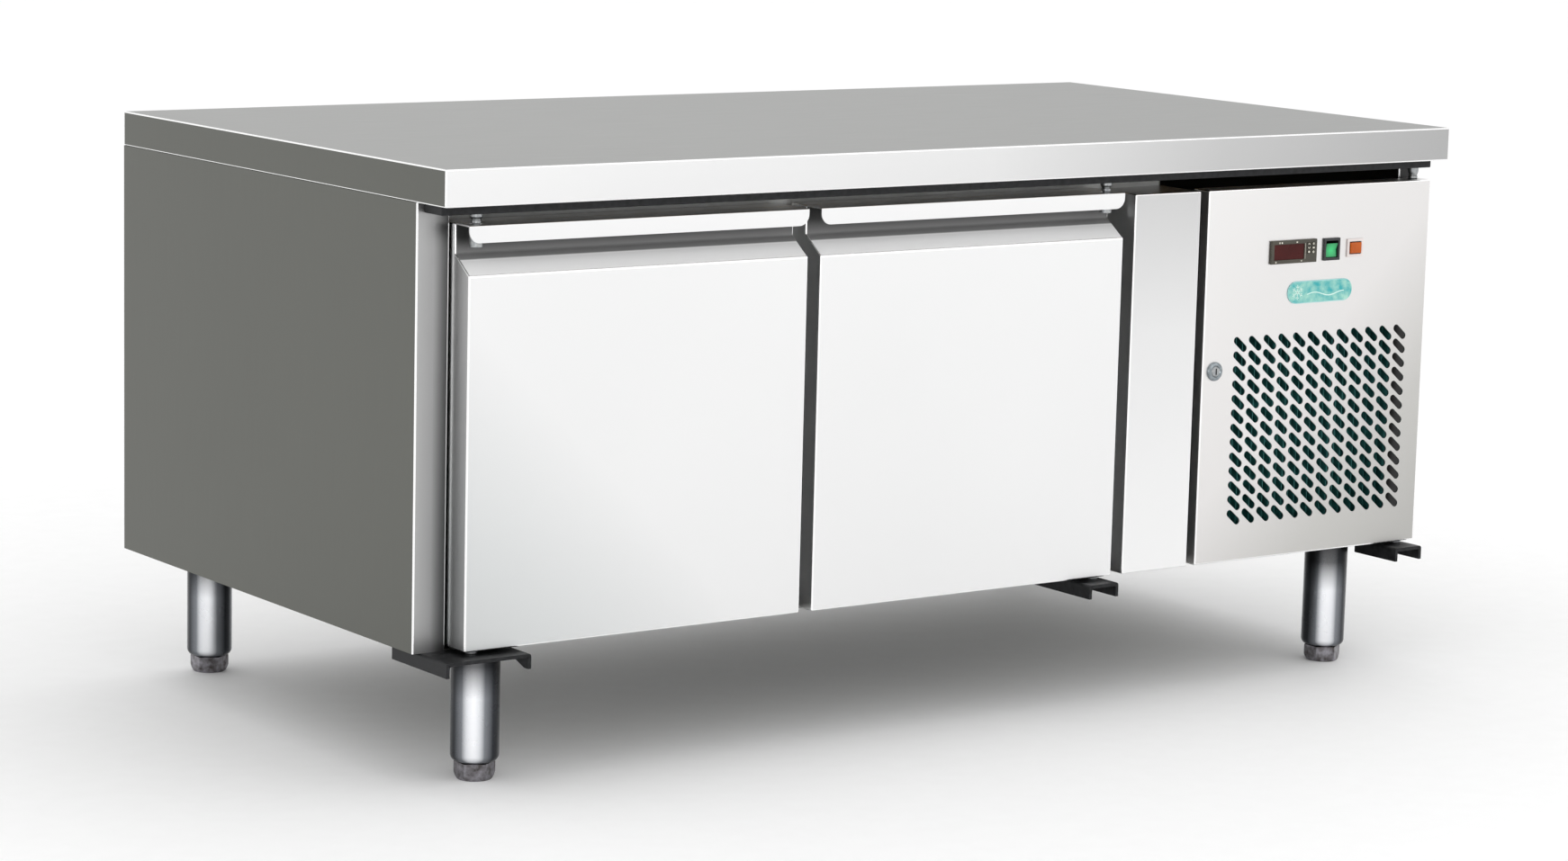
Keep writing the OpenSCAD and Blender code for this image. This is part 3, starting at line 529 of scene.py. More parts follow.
def block(name, low, high):
    """A cube stretched between two corners."""
    bpy.ops.object.select_all(action="DESELECT")
    low, high = Vector(low), Vector(high)
    bpy.ops.mesh.primitive_cube_add(size=1, location=(low + high) / 2)
    bpy.context.object.scale = high - low
    return name_it(name)


def round_edges(piece, radius, segments=3, test=None):
    """Bevel the sharp edges, or only those of them that pass the test."""
    edit(piece, "EDGE", lambda a, b: False)
    bpy.ops.mesh.edges_select_sharp(sharpness=radians(25))
    leave()
    if test:
        points = [vertex.co.copy() for vertex in piece.data.vertices]
        for edge in piece.data.edges:
            edge.select = edge.select and test(*[points[i] for i in edge.vertices])
    bpy.ops.object.mode_set(mode="EDIT")
    number = 1 if len(piece.data.materials) > 1 else -1
    bpy.ops.mesh.bevel(offset=radius, segments=segments, affect="EDGES", material=number)
    leave()


def soft_block(name, low, high, radius, segments=3):
    """A block with rounded edges."""
    piece = block(name, low, high)
    round_edges(piece, radius, segments)
    return piece


def coat(piece, *materials):
    """Several finishes on one piece. The second goes to the edges that are rounded later; on most
    steel sheets it is a painted highlight on the bends.
    """
    for material in materials:
        piece.data.materials.append(material)


def paint(piece, number, test, folds=False):
    """Give the flat faces, or the rounded folds, that pass the test another of the finishes."""
    for face in piece.data.polygons:
        if (face.material_index == 1) == folds and test(face.center, face.normal):
            face.material_index = number


def thicken(piece, wall):
    """Give a sheet its thickness on the side away from its normals."""
    apply_modifier(piece, "SOLIDIFY", thickness=wall, offset=-1, use_even_offset=True)


def pan(name, low, high, open_side, wall, bend, finishes=()):
    """A folded pan: a block without the side that faces along open_side."""
    piece = block(name, low, high)
    coat(piece, *finishes)
    shape(piece, "FACE", lambda centre, normal: normal.dot(Vector(open_side)) > 0.9,
          bpy.ops.mesh.delete, type="FACE")
    round_edges(piece, bend)
    thicken(piece, wall)
    return piece


def line(name, points):
    """A plane merged to one point, then extruded from point to point."""
    bpy.ops.object.select_all(action="DESELECT")
    bpy.ops.mesh.primitive_plane_add(size=MM, location=points[0])
    piece = name_it(name)
    edit(piece, "VERT")
    bpy.ops.mesh.merge(type="CENTER")
    for here, there in zip(points, points[1:]):
        bpy.ops.mesh.extrude_region_move(
            TRANSFORM_OT_translate={"value": Vector(there) - Vector(here)})
    leave()
    return piece


def folded_sheet(name, outline, sweep, wall, bend, inside, finishes=()):
    """A sheet along an outline, swept and bent; its thickness goes towards the inside point."""
    piece = line(name, outline)
    coat(piece, *finishes)
    shape(piece, "VERT", None, bpy.ops.mesh.extrude_region_move,
          TRANSFORM_OT_translate={"value": Vector(sweep)})
    face = piece.data.polygons[0]
    if face.normal.dot(Vector(inside) - face.center) > 0:
        shape(piece, "FACE", None, bpy.ops.mesh.flip_normals)
    round_edges(piece, bend, 4)
    if wall:
        thicken(piece, wall)
    return piece


print("sheet helpers ready")

# %% [markdown]
# ## Turned, punched and framed pieces
# Legs, pins and lock parts are round, so their half section is drawn as a line and spun about the
# axis. A flat shape with any outline is a filled line pulled to a thickness. A frame is a block
# with a window: both faces are inset and the hole between them is bridged.

# %% Turned pieces, plates and frames
def turned(name, centre, axis, profile, steps=32):
    """Spin (radius, height) pairs about the axis through the centre."""
    centre, axis = Vector(centre), Vector(axis)
    piece = line(name, [centre + Vector(ALONG_X) * r + axis * h for r, h in profile])
    edit(piece, "VERT")
    bpy.ops.mesh.spin(steps=steps, angle=2 * pi, center=centre, axis=axis)
    bpy.ops.mesh.select_all(action="SELECT")
    bpy.ops.mesh.remove_doubles(threshold=0.005 * MM)
    bpy.ops.mesh.normals_make_consistent(inside=False)
    leave()
    return piece


def plate(name, points, depth):
    """A filled outline pulled to a thickness along the depth vector."""
    piece = line(name, points)
    edit(piece, "VERT")
    bpy.ops.mesh.edge_face_add()
    bpy.ops.mesh.select_all(action="SELECT")
    bpy.ops.mesh.extrude_region_move(TRANSFORM_OT_translate={"value": Vector(depth)})
    bpy.ops.mesh.select_all(action="SELECT")
    bpy.ops.mesh.normals_make_consistent(inside=False)
    leave()
    return piece


def window_frame(name, low, high, border):
    """A block with a rectangular window through it along Y."""
    piece = block(name, low, high)
    edit(piece, "FACE", lambda centre, normal: abs(normal.y) > 0.9)
    bpy.ops.mesh.inset(thickness=border, use_individual=True)
    bpy.ops.mesh.bridge_edge_loops()
    leave()
    return piece


def obround(centre_x, centre_z, y, length, width, angle=0.0, steps=8):
    """The points of a slot with round ends, in an XZ plane."""
    points = []
    for end in (1, -1):
        for i in range(steps + 1):
            turn = pi * (i / steps - 0.5) + (0 if end > 0 else pi)
            x = end * (length - width) / 2 + width / 2 * cos(turn)
            z = width / 2 * sin(turn)
            points.append(Vector((centre_x + x * cos(angle) - z * sin(angle), y,
                                  centre_z + x * sin(angle) + z * cos(angle))))
    return points


def cut(piece, cutters):
    """Take the cutters away from the piece."""
    for cutter in cutters:
        apply_modifier(piece, "BOOLEAN", object=cutter, operation="DIFFERENCE", solver="EXACT")
        bpy.data.objects.remove(cutter)


def copy_of(piece, name, shift):
    """A copy with its own mesh, moved in the mesh."""
    twin = piece.copy()
    twin.data = piece.data.copy()
    twin.name = twin.data.name = name
    bpy.context.collection.objects.link(twin)
    twin.data.transform(Matrix.Translation(shift))
    return twin


made = []


def finish(piece, material, body, slot, *stands_for):
    """Smooth the shading, give the finish, hang the piece on its body, hide what it stands for."""
    if material:
        piece.data.materials.clear()
        piece.data.materials.append(material)
    only(piece)
    bpy.ops.object.shade_smooth_by_angle(angle=radians(30))
    apply_modifier(piece, "WEIGHTED_NORMAL", keep_sharp=True)
    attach(piece, body)
    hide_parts(*stands_for)
    made.append(piece.name)
    return piece


print("turning, plate and frame helpers ready")

# %% [markdown]
# ## The worktop
# The top is a pan of 1.5 mm sheet folded down on all four sides, with a narrow return under its
# edge and a board inside. It is a block whose underside is inset by the return and opened.

# %% Worktop
WALL = 1.5 * MM
BEND = 1.6 * MM
SPECK = 0.01 * MM
TOP_RETURN, TOP_BEND = 15 * MM, 1.4 * MM
top_low, top_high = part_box("worktop")
worktop = block("worktop_pan", top_low, top_high)
coat(worktop, worktop_steel, bend_highlight, lit_edge_steel, shaded_side_steel)
edit(worktop, "FACE", lambda centre, normal: normal.z < -0.9)
bpy.ops.mesh.inset(thickness=TOP_RETURN)
bpy.ops.mesh.delete(type="FACE")
leave()
round_edges(worktop, TOP_BEND)
# The front edge takes the painted lit copy of the steel, the sides and the back the painted shaded
# copy.
paint(worktop, 2, lambda centre, normal: normal.y < -0.9)
paint(worktop, 3, lambda centre, normal: abs(normal.x) > 0.9 or normal.y > 0.9)
thicken(worktop, WALL)
finish(worktop, None, "cabinet", "worktop_steel", "worktop")
print("worktop:", len(worktop.data.polygons), "faces")

# %% [markdown]
# ## Side panels and the back
# Each side is one sheet: it runs along the side, turns round the front corner to make the post
# beside the door, and turns back again. Drawing its outline from above and sweeping it upwards is
# how the folding machine works too. The back is flat, with slots behind the cooling unit.

# %% Side panels
left_low, left_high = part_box("left_side_panel")
right_low, right_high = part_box("right_side_panel")
height = Vector((0, 0, left_high.z - left_low.z))
RIGHT_RETURN = 12 * MM


def side_panel(name, corner, post, back, inner, inside, node):
    """A side sheet: return beside the front, post face, and the long side."""
    outline = [(post, inner, corner.z), (post, corner.y, corner.z), (corner.x, corner.y, corner.z),
               (corner.x, back, corner.z)]
    sheet = folded_sheet(name, outline, height, WALL, BEND, inside,
                         (shaded_side_steel, bend_highlight, shaded_post_steel))
    # The post face takes the painted shade that darkens towards the door.
    paint(sheet, 2, lambda centre, normal: normal.y < -0.9)
    return finish(sheet, None, "cabinet", "panel_steel", node)


ledge_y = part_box("breaker_strips")[0].y
left_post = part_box("breaker_strips")[0].x
side_panel("left_side_sheet", left_low, left_post, left_high.y, ledge_y,
           (left_low.x + 20 * MM, left_low.y + 15 * MM, left_low.z), "left_side_panel")
right_corner = Vector((right_high.x, right_low.y, right_low.z))
side_panel("right_side_sheet", right_corner, right_low.x, right_high.y, right_low.y + RIGHT_RETURN,
           (right_high.x - 12 * MM, right_low.y + 6 * MM, right_low.z), "right_side_panel")
print("posts are", round((left_post - left_low.x) / MM), "and",
      round((right_high.x - right_low.x) / MM), "mm wide")

# %% Slots, and the back panel
def slot_cutters(name, centres, low_y, high_y, length, width, angle=0.0, steps=6):
    """One slot-shaped punch, copied to every centre and joined."""
    first = plate(name, obround(0, 0, low_y, length, width, angle, steps),
                  (0, high_y - low_y, 0))
    copies = [copy_of(first, name, (x, 0, z)) for x, z in centres]
    bpy.data.objects.remove(first)
    return join(name, copies)


LOUVRE_FIRST, LOUVRE_STEP = (440 * MM, 250 * MM), (110 * MM, 18 * MM)
LOUVRE_LENGTH, LOUVRE_WIDTH = 90 * MM, 6 * MM
back_low, back_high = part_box("back_panel")
back = soft_block("back_sheet", back_low, back_high, 0.4 * MM, 2)
louvres = [(LOUVRE_FIRST[0] + column * LOUVRE_STEP[0], LOUVRE_FIRST[1] + row * LOUVRE_STEP[1])
           for column in range(2) for row in range(10)]
cut(back, [slot_cutters("louvre_punch", louvres, back_low.y - MM, back_high.y + MM,
                        LOUVRE_LENGTH, LOUVRE_WIDTH)])
finish(back, shaded_side_steel, "cabinet", "panel_steel", "back_panel")
print("the back has", len(louvres), "slots")

# %% [markdown]
# ## The door skins
# A door's front is flat up to a sloping shoulder, then steps back into a recess for the fingers.
# Two bisect cuts across a block mark the top and bottom of the slope, and moving the points above
# them backwards makes it. The back is left open for the inner panel.

# %% Door skins
SHOULDER_LOW = 51 * MM
SHOULDER_HIGH = 31 * MM
RECESS = 28 * MM
LIP_HEIGHT = 18 * MM
LIP_CORNER = 12 * MM
BUSH_RADIUS = 7 * MM
BUSH_HOLE = 3 * MM
pivots = {joint["name"]: Vector(joint["pos_m"]) for joint in frame["joints"] if "pos_m" in joint}


def bush_cutter(place, low_z, high_z):
    """A cylinder that clears a hinge bush."""
    centre = (place.x, place.y, (low_z + high_z) / 2)
    bpy.ops.object.select_all(action="DESELECT")
    bpy.ops.mesh.primitive_cylinder_add(vertices=32, radius=BUSH_RADIUS, depth=high_z - low_z,
                                        location=centre)
    return name_it("bush_cutter")


def finger_lip(name, low, high):
    """The sheet that folds forward over the recess and hangs down in front of it."""
    back_y = low.y + RECESS
    outline = [(low.x, back_y, high.z), (low.x, low.y, high.z), (low.x, low.y, high.z - LIP_HEIGHT)]
    sweep = (high.x - low.x, 0, 0)
    inside = (low.x, low.y + RECESS / 2, high.z - LIP_HEIGHT / 2)
    lip = folded_sheet(name, outline, sweep, None, BEND, inside, (front_steel, front_steel))
    shape(lip, "VERT", lambda point: point.z < high.z - LIP_HEIGHT + SPECK,
          bpy.ops.mesh.bevel, offset=LIP_CORNER, segments=8, affect="VERTICES")
    thicken(lip, WALL)
    return lip


def door_skin(side):
    """The folded outer shell of one door, with its finger lip."""
    low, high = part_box(f"door_{side}_skin")
    skin = block(f"door_{side}_shell", low, high)
    coat(skin, front_steel, bend_highlight, recess_steel)
    for drop in (SHOULDER_LOW, SHOULDER_HIGH):
        shape(skin, "FACE", None, bpy.ops.mesh.bisect, plane_co=(0, 0, high.z - drop),
              plane_no=ALONG_Z)
    shape(skin, "VERT", lambda point: point.y < low.y + SPECK
          and point.z > high.z - SHOULDER_HIGH - SPECK,
          bpy.ops.transform.translate, value=(0, RECESS, 0))
    shape(skin, "FACE", lambda centre, normal: normal.y > 0.9, bpy.ops.mesh.delete, type="FACE")
    top_fold = (low.y + RECESS, high.z)
    round_edges(skin, BEND, 4, lambda a, b: hypot(a.y - top_fold[0], a.z - top_fold[1]) > SPECK
                or hypot(b.y - top_fold[0], b.z - top_fold[1]) > SPECK)
    # The shoulder and the recess take the painted light and shade of the recess finish, and so does
    # the fold at the top of the shoulder.
    paint(skin, 2, lambda centre, normal: normal.y < -0.1 and centre.z > high.z - SHOULDER_LOW)
    paint(skin, 2, lambda centre, normal: abs(centre.z - high.z + SHOULDER_HIGH) < 2 * BEND
          and abs(normal.x) < 0.1, folds=True)
    thicken(skin, WALL)
    skin = join(skin.name, [skin, finger_lip(f"door_{side}_lip", low, high)])
    pivot = pivots[f"door_{side}_hinge"]
    cut(skin, [bush_cutter(pivot, low.z - MM, low.z + BUSH_HOLE),
               bush_cutter(pivot, high.z - BUSH_HOLE, high.z + MM)])
    return finish(skin, None, f"door_{side}", "front_steel", f"door_{side}_skin")


for side in ("left", "right"):
    skin = door_skin(side)
    print(skin.name, "has", len(skin.data.polygons), "faces")

# %% [markdown]
# ## Behind the doors
# The inner panel is pressed outwards inside the seal, which stiffens it. The seal is a magnet
# pocket on a thin bellows on a base strip: three frames of different widths, one on another.

# %% Inner panels and seals
SEAL_WIDTH, NECK_WIDTH = 14 * MM, 7 * MM
SEAL_BASE, SEAL_POCKET, SEAL_OVERLAP = 3 * MM, 5.5 * MM, 0.5 * MM
NECK_INSET = 3.5 * MM
PRESSED_BORDER, PRESSED_SLOPE, PRESSED_RISE = 30 * MM, 9 * MM, 3 * MM


def inner_panel(side):
    """The pressed panel at the back of a door."""
    low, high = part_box(f"door_{side}_liner")
    panel = block(f"door_{side}_inner_panel", low, high)
    shape(panel, "FACE", lambda centre, normal: normal.y < 0.9, bpy.ops.mesh.delete, type="FACE")
    edit(panel)
    bpy.ops.mesh.inset(thickness=PRESSED_BORDER)
    bpy.ops.mesh.inset(thickness=PRESSED_SLOPE, depth=PRESSED_RISE)
    leave()
    thicken(panel, high.y - low.y)
    return finish(panel, liner_steel, f"door_{side}", "liner_steel", f"door_{side}_liner")


def door_seal(side):
    """Base strip, bellows neck and magnet pocket."""
    low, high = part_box(f"door_{side}_gasket")
    inset = Vector((NECK_INSET, 0, NECK_INSET))
    layers = [(Vector(), 0, SEAL_BASE, SEAL_WIDTH),
              (inset, SEAL_BASE - SEAL_OVERLAP, SEAL_POCKET + SEAL_OVERLAP, NECK_WIDTH),
              (Vector(), SEAL_POCKET, high.y - low.y, SEAL_WIDTH)]
    parts = []
    for shrink, start, end, width in layers:
        part = window_frame("seal_layer", (low.x + shrink.x, low.y + start, low.z + shrink.z),
                            (high.x - shrink.x, low.y + end, high.z - shrink.z), width)
        round_edges(part, 0.9 * MM, 2)
        parts.append(part)
    seal = join(f"door_{side}_seal", parts)
    return finish(seal, seal_rubber, f"door_{side}", "seal", f"door_{side}_gasket")


for side in ("left", "right"):
    inner_panel(side)
    door_seal(side)
print("inner panels stand out", round(PRESSED_RISE / MM), "mm, seals are",
      round(SEAL_WIDTH / MM), "mm wide")

# %% [markdown]
# ## Strip and service panel
# Both are pans folded back all round. The service panel is then punched: one slanted slot is
# modelled, copied over the grid of the grille and cut away in one go, with the holes for the lock
# and the controls. Its hinge bushes are welded inside, at the top and the bottom.

# %% Front strip
lock_low, lock_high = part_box("lock_plug")
CAM_REACH = 7 * MM
lock_centre = Vector(((lock_low.x + lock_high.x) / 2, lock_low.y, lock_high.z - CAM_REACH))
strip_low, strip_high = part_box("front_strip")
strip = pan("strip_pan", strip_low, strip_high, (0, 1, 0), WALL, BEND, (shadowed_strip_steel, bend_highlight))
cut(strip, [block("cam_cutter",
                  (strip_high.x - 3 * MM, lock_high.y - 5 * MM, lock_centre.z - 25 * MM),
                  (strip_high.x + MM, lock_high.y + 3 * MM, lock_centre.z + 11 * MM))])
finish(strip, None, "cabinet", "front_steel", "front_strip")
print("the strip is", round((strip_high.x - strip_low.x) / MM), "mm wide")

# %% Service panel
SLOT_LENGTH = 23.5 * MM
SLOT_WIDTH = 8.5 * MM
SLOT_ANGLE = radians(-40)
SLOT_PITCH = (22.6 * MM, 16.7 * MM)
GRID = (12, 13)
GRILLE_SHIFT, GRILLE_HEIGHT = 8.5 * MM, 151.5 * MM
THROUGH = 3 * MM
FRAME_COVER, LAMP_COVER = 2.4 * MM, 3 * MM
LOCK_HOLE = 9 * MM
panel_low, panel_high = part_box("service_panel")
grille = Vector(((panel_low.x + panel_high.x) / 2 + GRILLE_SHIFT, 0,
                 panel_low.z + GRILLE_HEIGHT))
centres = [(grille.x + (column - (GRID[0] - 1) / 2) * SLOT_PITCH[0],
            grille.z + (row - (GRID[1] - 1) / 2) * SLOT_PITCH[1])
           for column in range(GRID[0]) for row in range(GRID[1])]
face_y = panel_low.y
panel = pan("service_panel_pan", panel_low, panel_high, (0, 1, 0), WALL, BEND,
            (warm_shaded_steel, bend_highlight))


def opening(node, border):
    """A cutter through the panel's face, a little smaller than what covers it."""
    low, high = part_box(node)
    return block("opening_cutter", (low.x + border, face_y - MM, low.z + border),
                 (high.x - border, face_y + THROUGH, high.z - border))


lock_hole = turned("lock_hole_cutter", (lock_centre.x, face_y, lock_centre.z), ALONG_Y,
                   [(0, -MM), (LOCK_HOLE, -MM), (LOCK_HOLE, THROUGH), (0, THROUGH)])
cut(panel, [slot_cutters("grille_punch", centres, face_y - MM, face_y + THROUGH, SLOT_LENGTH,
                         SLOT_WIDTH, SLOT_ANGLE),
            opening("controller_case", FRAME_COVER), opening("rocker_frame", FRAME_COVER),
            opening("pilot_lamp", LAMP_COVER), lock_hole])
finish(panel, None, "service_panel", "front_steel", "service_panel")
print("the grille has", len(centres), "slots; the panel has", len(panel.data.polygons), "faces")

# %% Hinge bushes of the service panel
PIN_RADIUS = 4 * MM
BUSH_LENGTH = 17 * MM
CHAMFER = 0.5 * MM
FREE_FIT = 0.05 * MM
panel_pivot = pivots["service_panel_hinge"]
bore = PIN_RADIUS + FREE_FIT
bush_profile = [(bore, 0), (BUSH_RADIUS - CHAMFER, 0), (BUSH_RADIUS, CHAMFER),
                (BUSH_RADIUS, BUSH_LENGTH - CHAMFER), (BUSH_RADIUS - CHAMFER, BUSH_LENGTH),
                (bore, BUSH_LENGTH), (bore, 0)]
bushes = [turned("panel_bush", (panel_pivot.x, panel_pivot.y, z), ALONG_Z, bush_profile)
          for z in (panel_low.z, panel_high.z - BUSH_LENGTH)]
finish(join("service_panel_bushes", bushes), zinc, "service_panel", "zinc", "service_panel")
print("two bushes with a bore of", round(2 * bore / MM, 2), "mm")

# %% [markdown]
# ## Hinge rail and brackets
# The upper pins hang from a dark bar under the worktop. The lower pins stand in channels pressed
# from 4 mm plate, whose two flanges point down; the left one is cut short at a slant so that the
# leg fits beside it. A channel is a folded sheet, and the slant is one bisect and one moved point.

# %% Hinge rail
rail_low, rail_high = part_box("hinge_rail")
rail = soft_block("hinge_rail_bar", rail_low, rail_high, 1.2 * MM)
finish(rail, phosphate, "cabinet", "dark_steel", "hinge_rail")
print("the rail is", round((rail_high.x - rail_low.x) / MM), "mm long")

# %% Brackets
PLATE = 4 * MM
LEFT_WIDTH = 100 * MM
SLANT_START, SLANT_SHIFT = 44 * MM, 36 * MM
LEFT_OF_PIN, RIGHT_OF_PIN = 30 * MM, 12 * MM
RIGHT_SHORTER = 39 * MM
bracket_low, bracket_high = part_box("hinge_brackets")


def bracket(name, left_x, right_x, back_y, slant):
    """A channel with its flanges down, and a stiffening rib under its front edge."""
    front_y = bracket_low.y
    corners = [(left_x, front_y, bracket_low.z), (left_x, front_y, bracket_high.z),
               (right_x, front_y, bracket_high.z), (right_x, front_y, bracket_low.z)]
    inside = ((left_x + right_x) / 2, front_y, bracket_low.z)
    channel = folded_sheet(name, corners, (0, back_y - front_y, 0), None, 3 * MM, inside)
    if slant:
        slant_y = front_y + SLANT_START
        shape(channel, "FACE", None, bpy.ops.mesh.bisect, plane_co=(0, slant_y, 0),
              plane_no=ALONG_Y)
        shape(channel, "FACE", lambda centre, normal: normal.x > 0.99 and centre.y > slant_y,
              bpy.ops.mesh.delete, type="FACE")
        shape(channel, "VERT", lambda point: point.x > right_x - SPECK
              and point.z < bracket_low.z + SPECK and point.y > front_y + SPECK,
              bpy.ops.transform.translate, value=(0, -SLANT_SHIFT, 0))
    thicken(channel, PLATE)
    round_edges(channel, 0.5 * MM, 2)
    rib_y = face_y + 6 * MM
    rib = soft_block("bracket_rib", (left_x + PLATE / 2, rib_y, bracket_high.z - PLATE - 5 * MM),
                     (right_x - PLATE / 2, rib_y + 2 * MM, bracket_high.z - PLATE / 2),
                     0.5 * MM, 2)
    channel = join(name, [channel, rib])
    return finish(channel, phosphate, "cabinet", "dark_steel", "hinge_brackets")


bracket("bracket_left", bracket_low.x, bracket_low.x + LEFT_WIDTH, bracket_high.y, True)
for name, joint, back_y in (
        ("bracket_middle", "door_right_hinge", bracket_high.y),
        ("bracket_right", "service_panel_hinge", bracket_high.y - RIGHT_SHORTER)):
    bracket(name, pivots[joint].x - LEFT_OF_PIN, pivots[joint].x + RIGHT_OF_PIN, back_y, False)
print("three brackets between", round(bracket_low.z / MM), "and", round(bracket_high.z / MM), "mm")

# %% [markdown]
# ## Hinge pins
# Each front turns on an upper and a lower pin. Above the doors the pin has a stepped boss that is
# wider at the top, with a rounded ring at its foot. They are turned parts, so they are spun.

# %% Pins
COLLAR = 6.5 * MM
RUNNING_GAP = 0.5 * MM


def pin_set(pivot, front_low, front_high):
    """The upper pin with its boss and the lower pin with its washer."""
    base = front_high + RUNNING_GAP
    tall = rail_low.z - base
    reach = BUSH_LENGTH - PLATE
    upper = [(0, -reach), (PIN_RADIUS - CHAMFER, -reach), (PIN_RADIUS, CHAMFER - reach),
             (PIN_RADIUS, 0), (4.8 * MM, 0), (5.5 * MM, 0.7 * MM), (5.5 * MM, 3 * MM),
             (4.9 * MM, 3.7 * MM), (4.9 * MM, 4.4 * MM), (5.4 * MM, 5 * MM),
             (COLLAR, tall * 0.65), (COLLAR, tall - 0.1 * MM), (0, tall - 0.1 * MM)]
    foot = bracket_high.z
    washer = front_low - RUNNING_GAP - foot
    lower = [(0, -PLATE), (PIN_RADIUS, -PLATE), (PIN_RADIUS, 0), (COLLAR - 0.4 * MM, 0),
             (COLLAR, 0.4 * MM), (COLLAR, washer - 0.4 * MM), (COLLAR - 0.4 * MM, washer),
             (PIN_RADIUS, washer), (PIN_RADIUS, washer + reach - MM),
             (PIN_RADIUS - MM, washer + reach), (0, washer + reach)]
    return [turned("upper_pin", (pivot.x, pivot.y, base), ALONG_Z, upper),
            turned("lower_pin", (pivot.x, pivot.y, foot), ALONG_Z, lower)]


pins = []
for joint, node in (("door_left_hinge", "door_left_skin"), ("door_right_hinge", "door_right_skin"),
                    ("service_panel_hinge", "service_panel")):
    low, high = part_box(node)
    pins += pin_set(pivots[joint], low.z, high.z)
finish(join("hinge_pin_set", pins), zinc, "cabinet", "zinc", "hinge_pins")
print(len(pins), "pins,", round(2 * PIN_RADIUS / MM), "mm thick")

# %% [markdown]
# ## Legs and feet
# A leg is a 2 inch tube spun to a rounded lower end, with a threaded insert. The foot is a hexagon
# that is also domed, so it is the overlap of a six-sided prism and a ball, and its stem carries the
# thread. One of each is modelled and copied to the other corners. The front left leg stands under
# its bracket; the other three carry a small plate of their own.

# %% Legs
foot_names = ("front_left", "front_right", "back_left", "back_right")
foot_boxes = {name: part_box("foot_" + name) for name in foot_names}
places = {name: (low + high) / 2 for name, (low, high) in foot_boxes.items()}
legs_low, legs_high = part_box("legs")
LEG_EDGE = 8 * MM
STEM_RADIUS = 8 * MM
LEG_PLATE = (70 * MM, 66 * MM)
INSERT_DEPTH = 60 * MM
leg_top = legs_high.z - PLATE

arc = [radians(9 * i) for i in range(11)]
leg_profile = [(0, leg_top), (LEG_RADIUS, leg_top)]
leg_profile += [(LEG_RADIUS - LEG_EDGE * (1 - cos(a)), legs_low.z + LEG_EDGE * (1 - sin(a)))
                for a in arc]
leg_profile += [(STEM_RADIUS, legs_low.z), (STEM_RADIUS, legs_low.z + INSERT_DEPTH),
                (0, legs_low.z + INSERT_DEPTH)]
first = places["front_left"]
leg = turned("leg_front_left", (first.x, first.y, 0), ALONG_Z, leg_profile, 48)
legs = {"front_left": leg}
for name in foot_names[1:]:
    place = places[name]
    twin = copy_of(leg, "leg_" + name, (place.x - first.x, place.y - first.y, 0))
    plate_x = place.x - LEG_PLATE[0] / 2
    plate_y = place.y - (LEG_RADIUS - MM if place.y < 0 else LEG_PLATE[1] / 2)
    flange = soft_block("leg_flange", (plate_x, plate_y, leg_top),
                        (plate_x + LEG_PLATE[0], plate_y + LEG_PLATE[1], legs_high.z),
                        0.8 * MM, 2)
    legs[name] = join("leg_" + name, [twin, flange])
for name, leg in legs.items():
    finish(leg, leg_steel, "cabinet", "leg_steel", "legs")
print("legs stand at", [(round(p.x / MM), round(p.y / MM)) for p in places.values()])

# %% Feet
FOOT_HEIGHT = 18 * MM
HEX_RADIUS, DOME_EXTRA, DOME_DROP = 21.5 * MM, 0.6 * MM, 5.5 * MM
THREAD_PITCH, THREAD_DEPTH = 2.5 * MM, 0.9 * MM
foot_high = foot_boxes["front_left"][1]

bpy.ops.object.select_all(action="DESELECT")
bpy.ops.mesh.primitive_cylinder_add(vertices=6, radius=HEX_RADIUS, depth=FOOT_HEIGHT,
                                    location=(first.x, first.y, FOOT_HEIGHT / 2))
hexagon = name_it("foot_front_left_screw")
bpy.ops.object.select_all(action="DESELECT")
bpy.ops.mesh.primitive_uv_sphere_add(segments=48, ring_count=24, radius=HEX_RADIUS + DOME_EXTRA,
                                     location=(first.x, first.y, FOOT_HEIGHT - DOME_DROP))
dome = name_it("foot_dome")
apply_modifier(hexagon, "BOOLEAN", object=dome, operation="INTERSECT", solver="EXACT")
bpy.data.objects.remove(dome)

stem = [(0, 0), (9 * MM, 0), (9 * MM, MM), (STEM_RADIUS - MM, MM),
        (STEM_RADIUS - MM, FOOT_HEIGHT - MM)]
turns = int((foot_high.z - FOOT_HEIGHT) / THREAD_PITCH)
for turn in range(turns):
    z = FOOT_HEIGHT + turn * THREAD_PITCH
    stem += [(STEM_RADIUS - THREAD_DEPTH, z), (STEM_RADIUS, z + THREAD_PITCH / 2)]
stem += [(STEM_RADIUS - THREAD_DEPTH, FOOT_HEIGHT + turns * THREAD_PITCH), (0, foot_high.z)]
screw = turned("foot_stem", (first.x, first.y, 0), ALONG_Z, stem, 24)
foot = join("foot_front_left_screw", [hexagon, screw])
feet = {"front_left": foot}
for name in foot_names[1:]:
    shift = places[name] - first
    feet[name] = copy_of(foot, f"foot_{name}_screw", (shift.x, shift.y, 0))
for name, foot in feet.items():
    finish(foot, foot_chrome, "foot_" + name, "chrome", "foot_" + name)
print("each stem has", turns, "turns of thread")

# %% [markdown]
# ## The thermostat
# The controller is a shallow olive-brown box with a smoked window and six small keys. The bezel is
# a rounded block with the window and the keyholes cut away. Each key carries a small pale sign,
# made of thin bars and rings that are joined to it, so that it moves in with the key.

# %% Signs made of bars and rings
SIGN_DEPTH = 0.08 * MM


def bar(start, end, width, y):
    """A thin raised bar between two points of an XZ plane."""
    start, end = Vector((start[0], y, start[1])), Vector((end[0], y, end[1]))
    along = (end - start).normalized()
    side = Vector((along.z, 0, -along.x)) * width / 2
    return plate("bar", [start + side, end + side, end - side, start - side],
                 (0, -SIGN_DEPTH, 0))


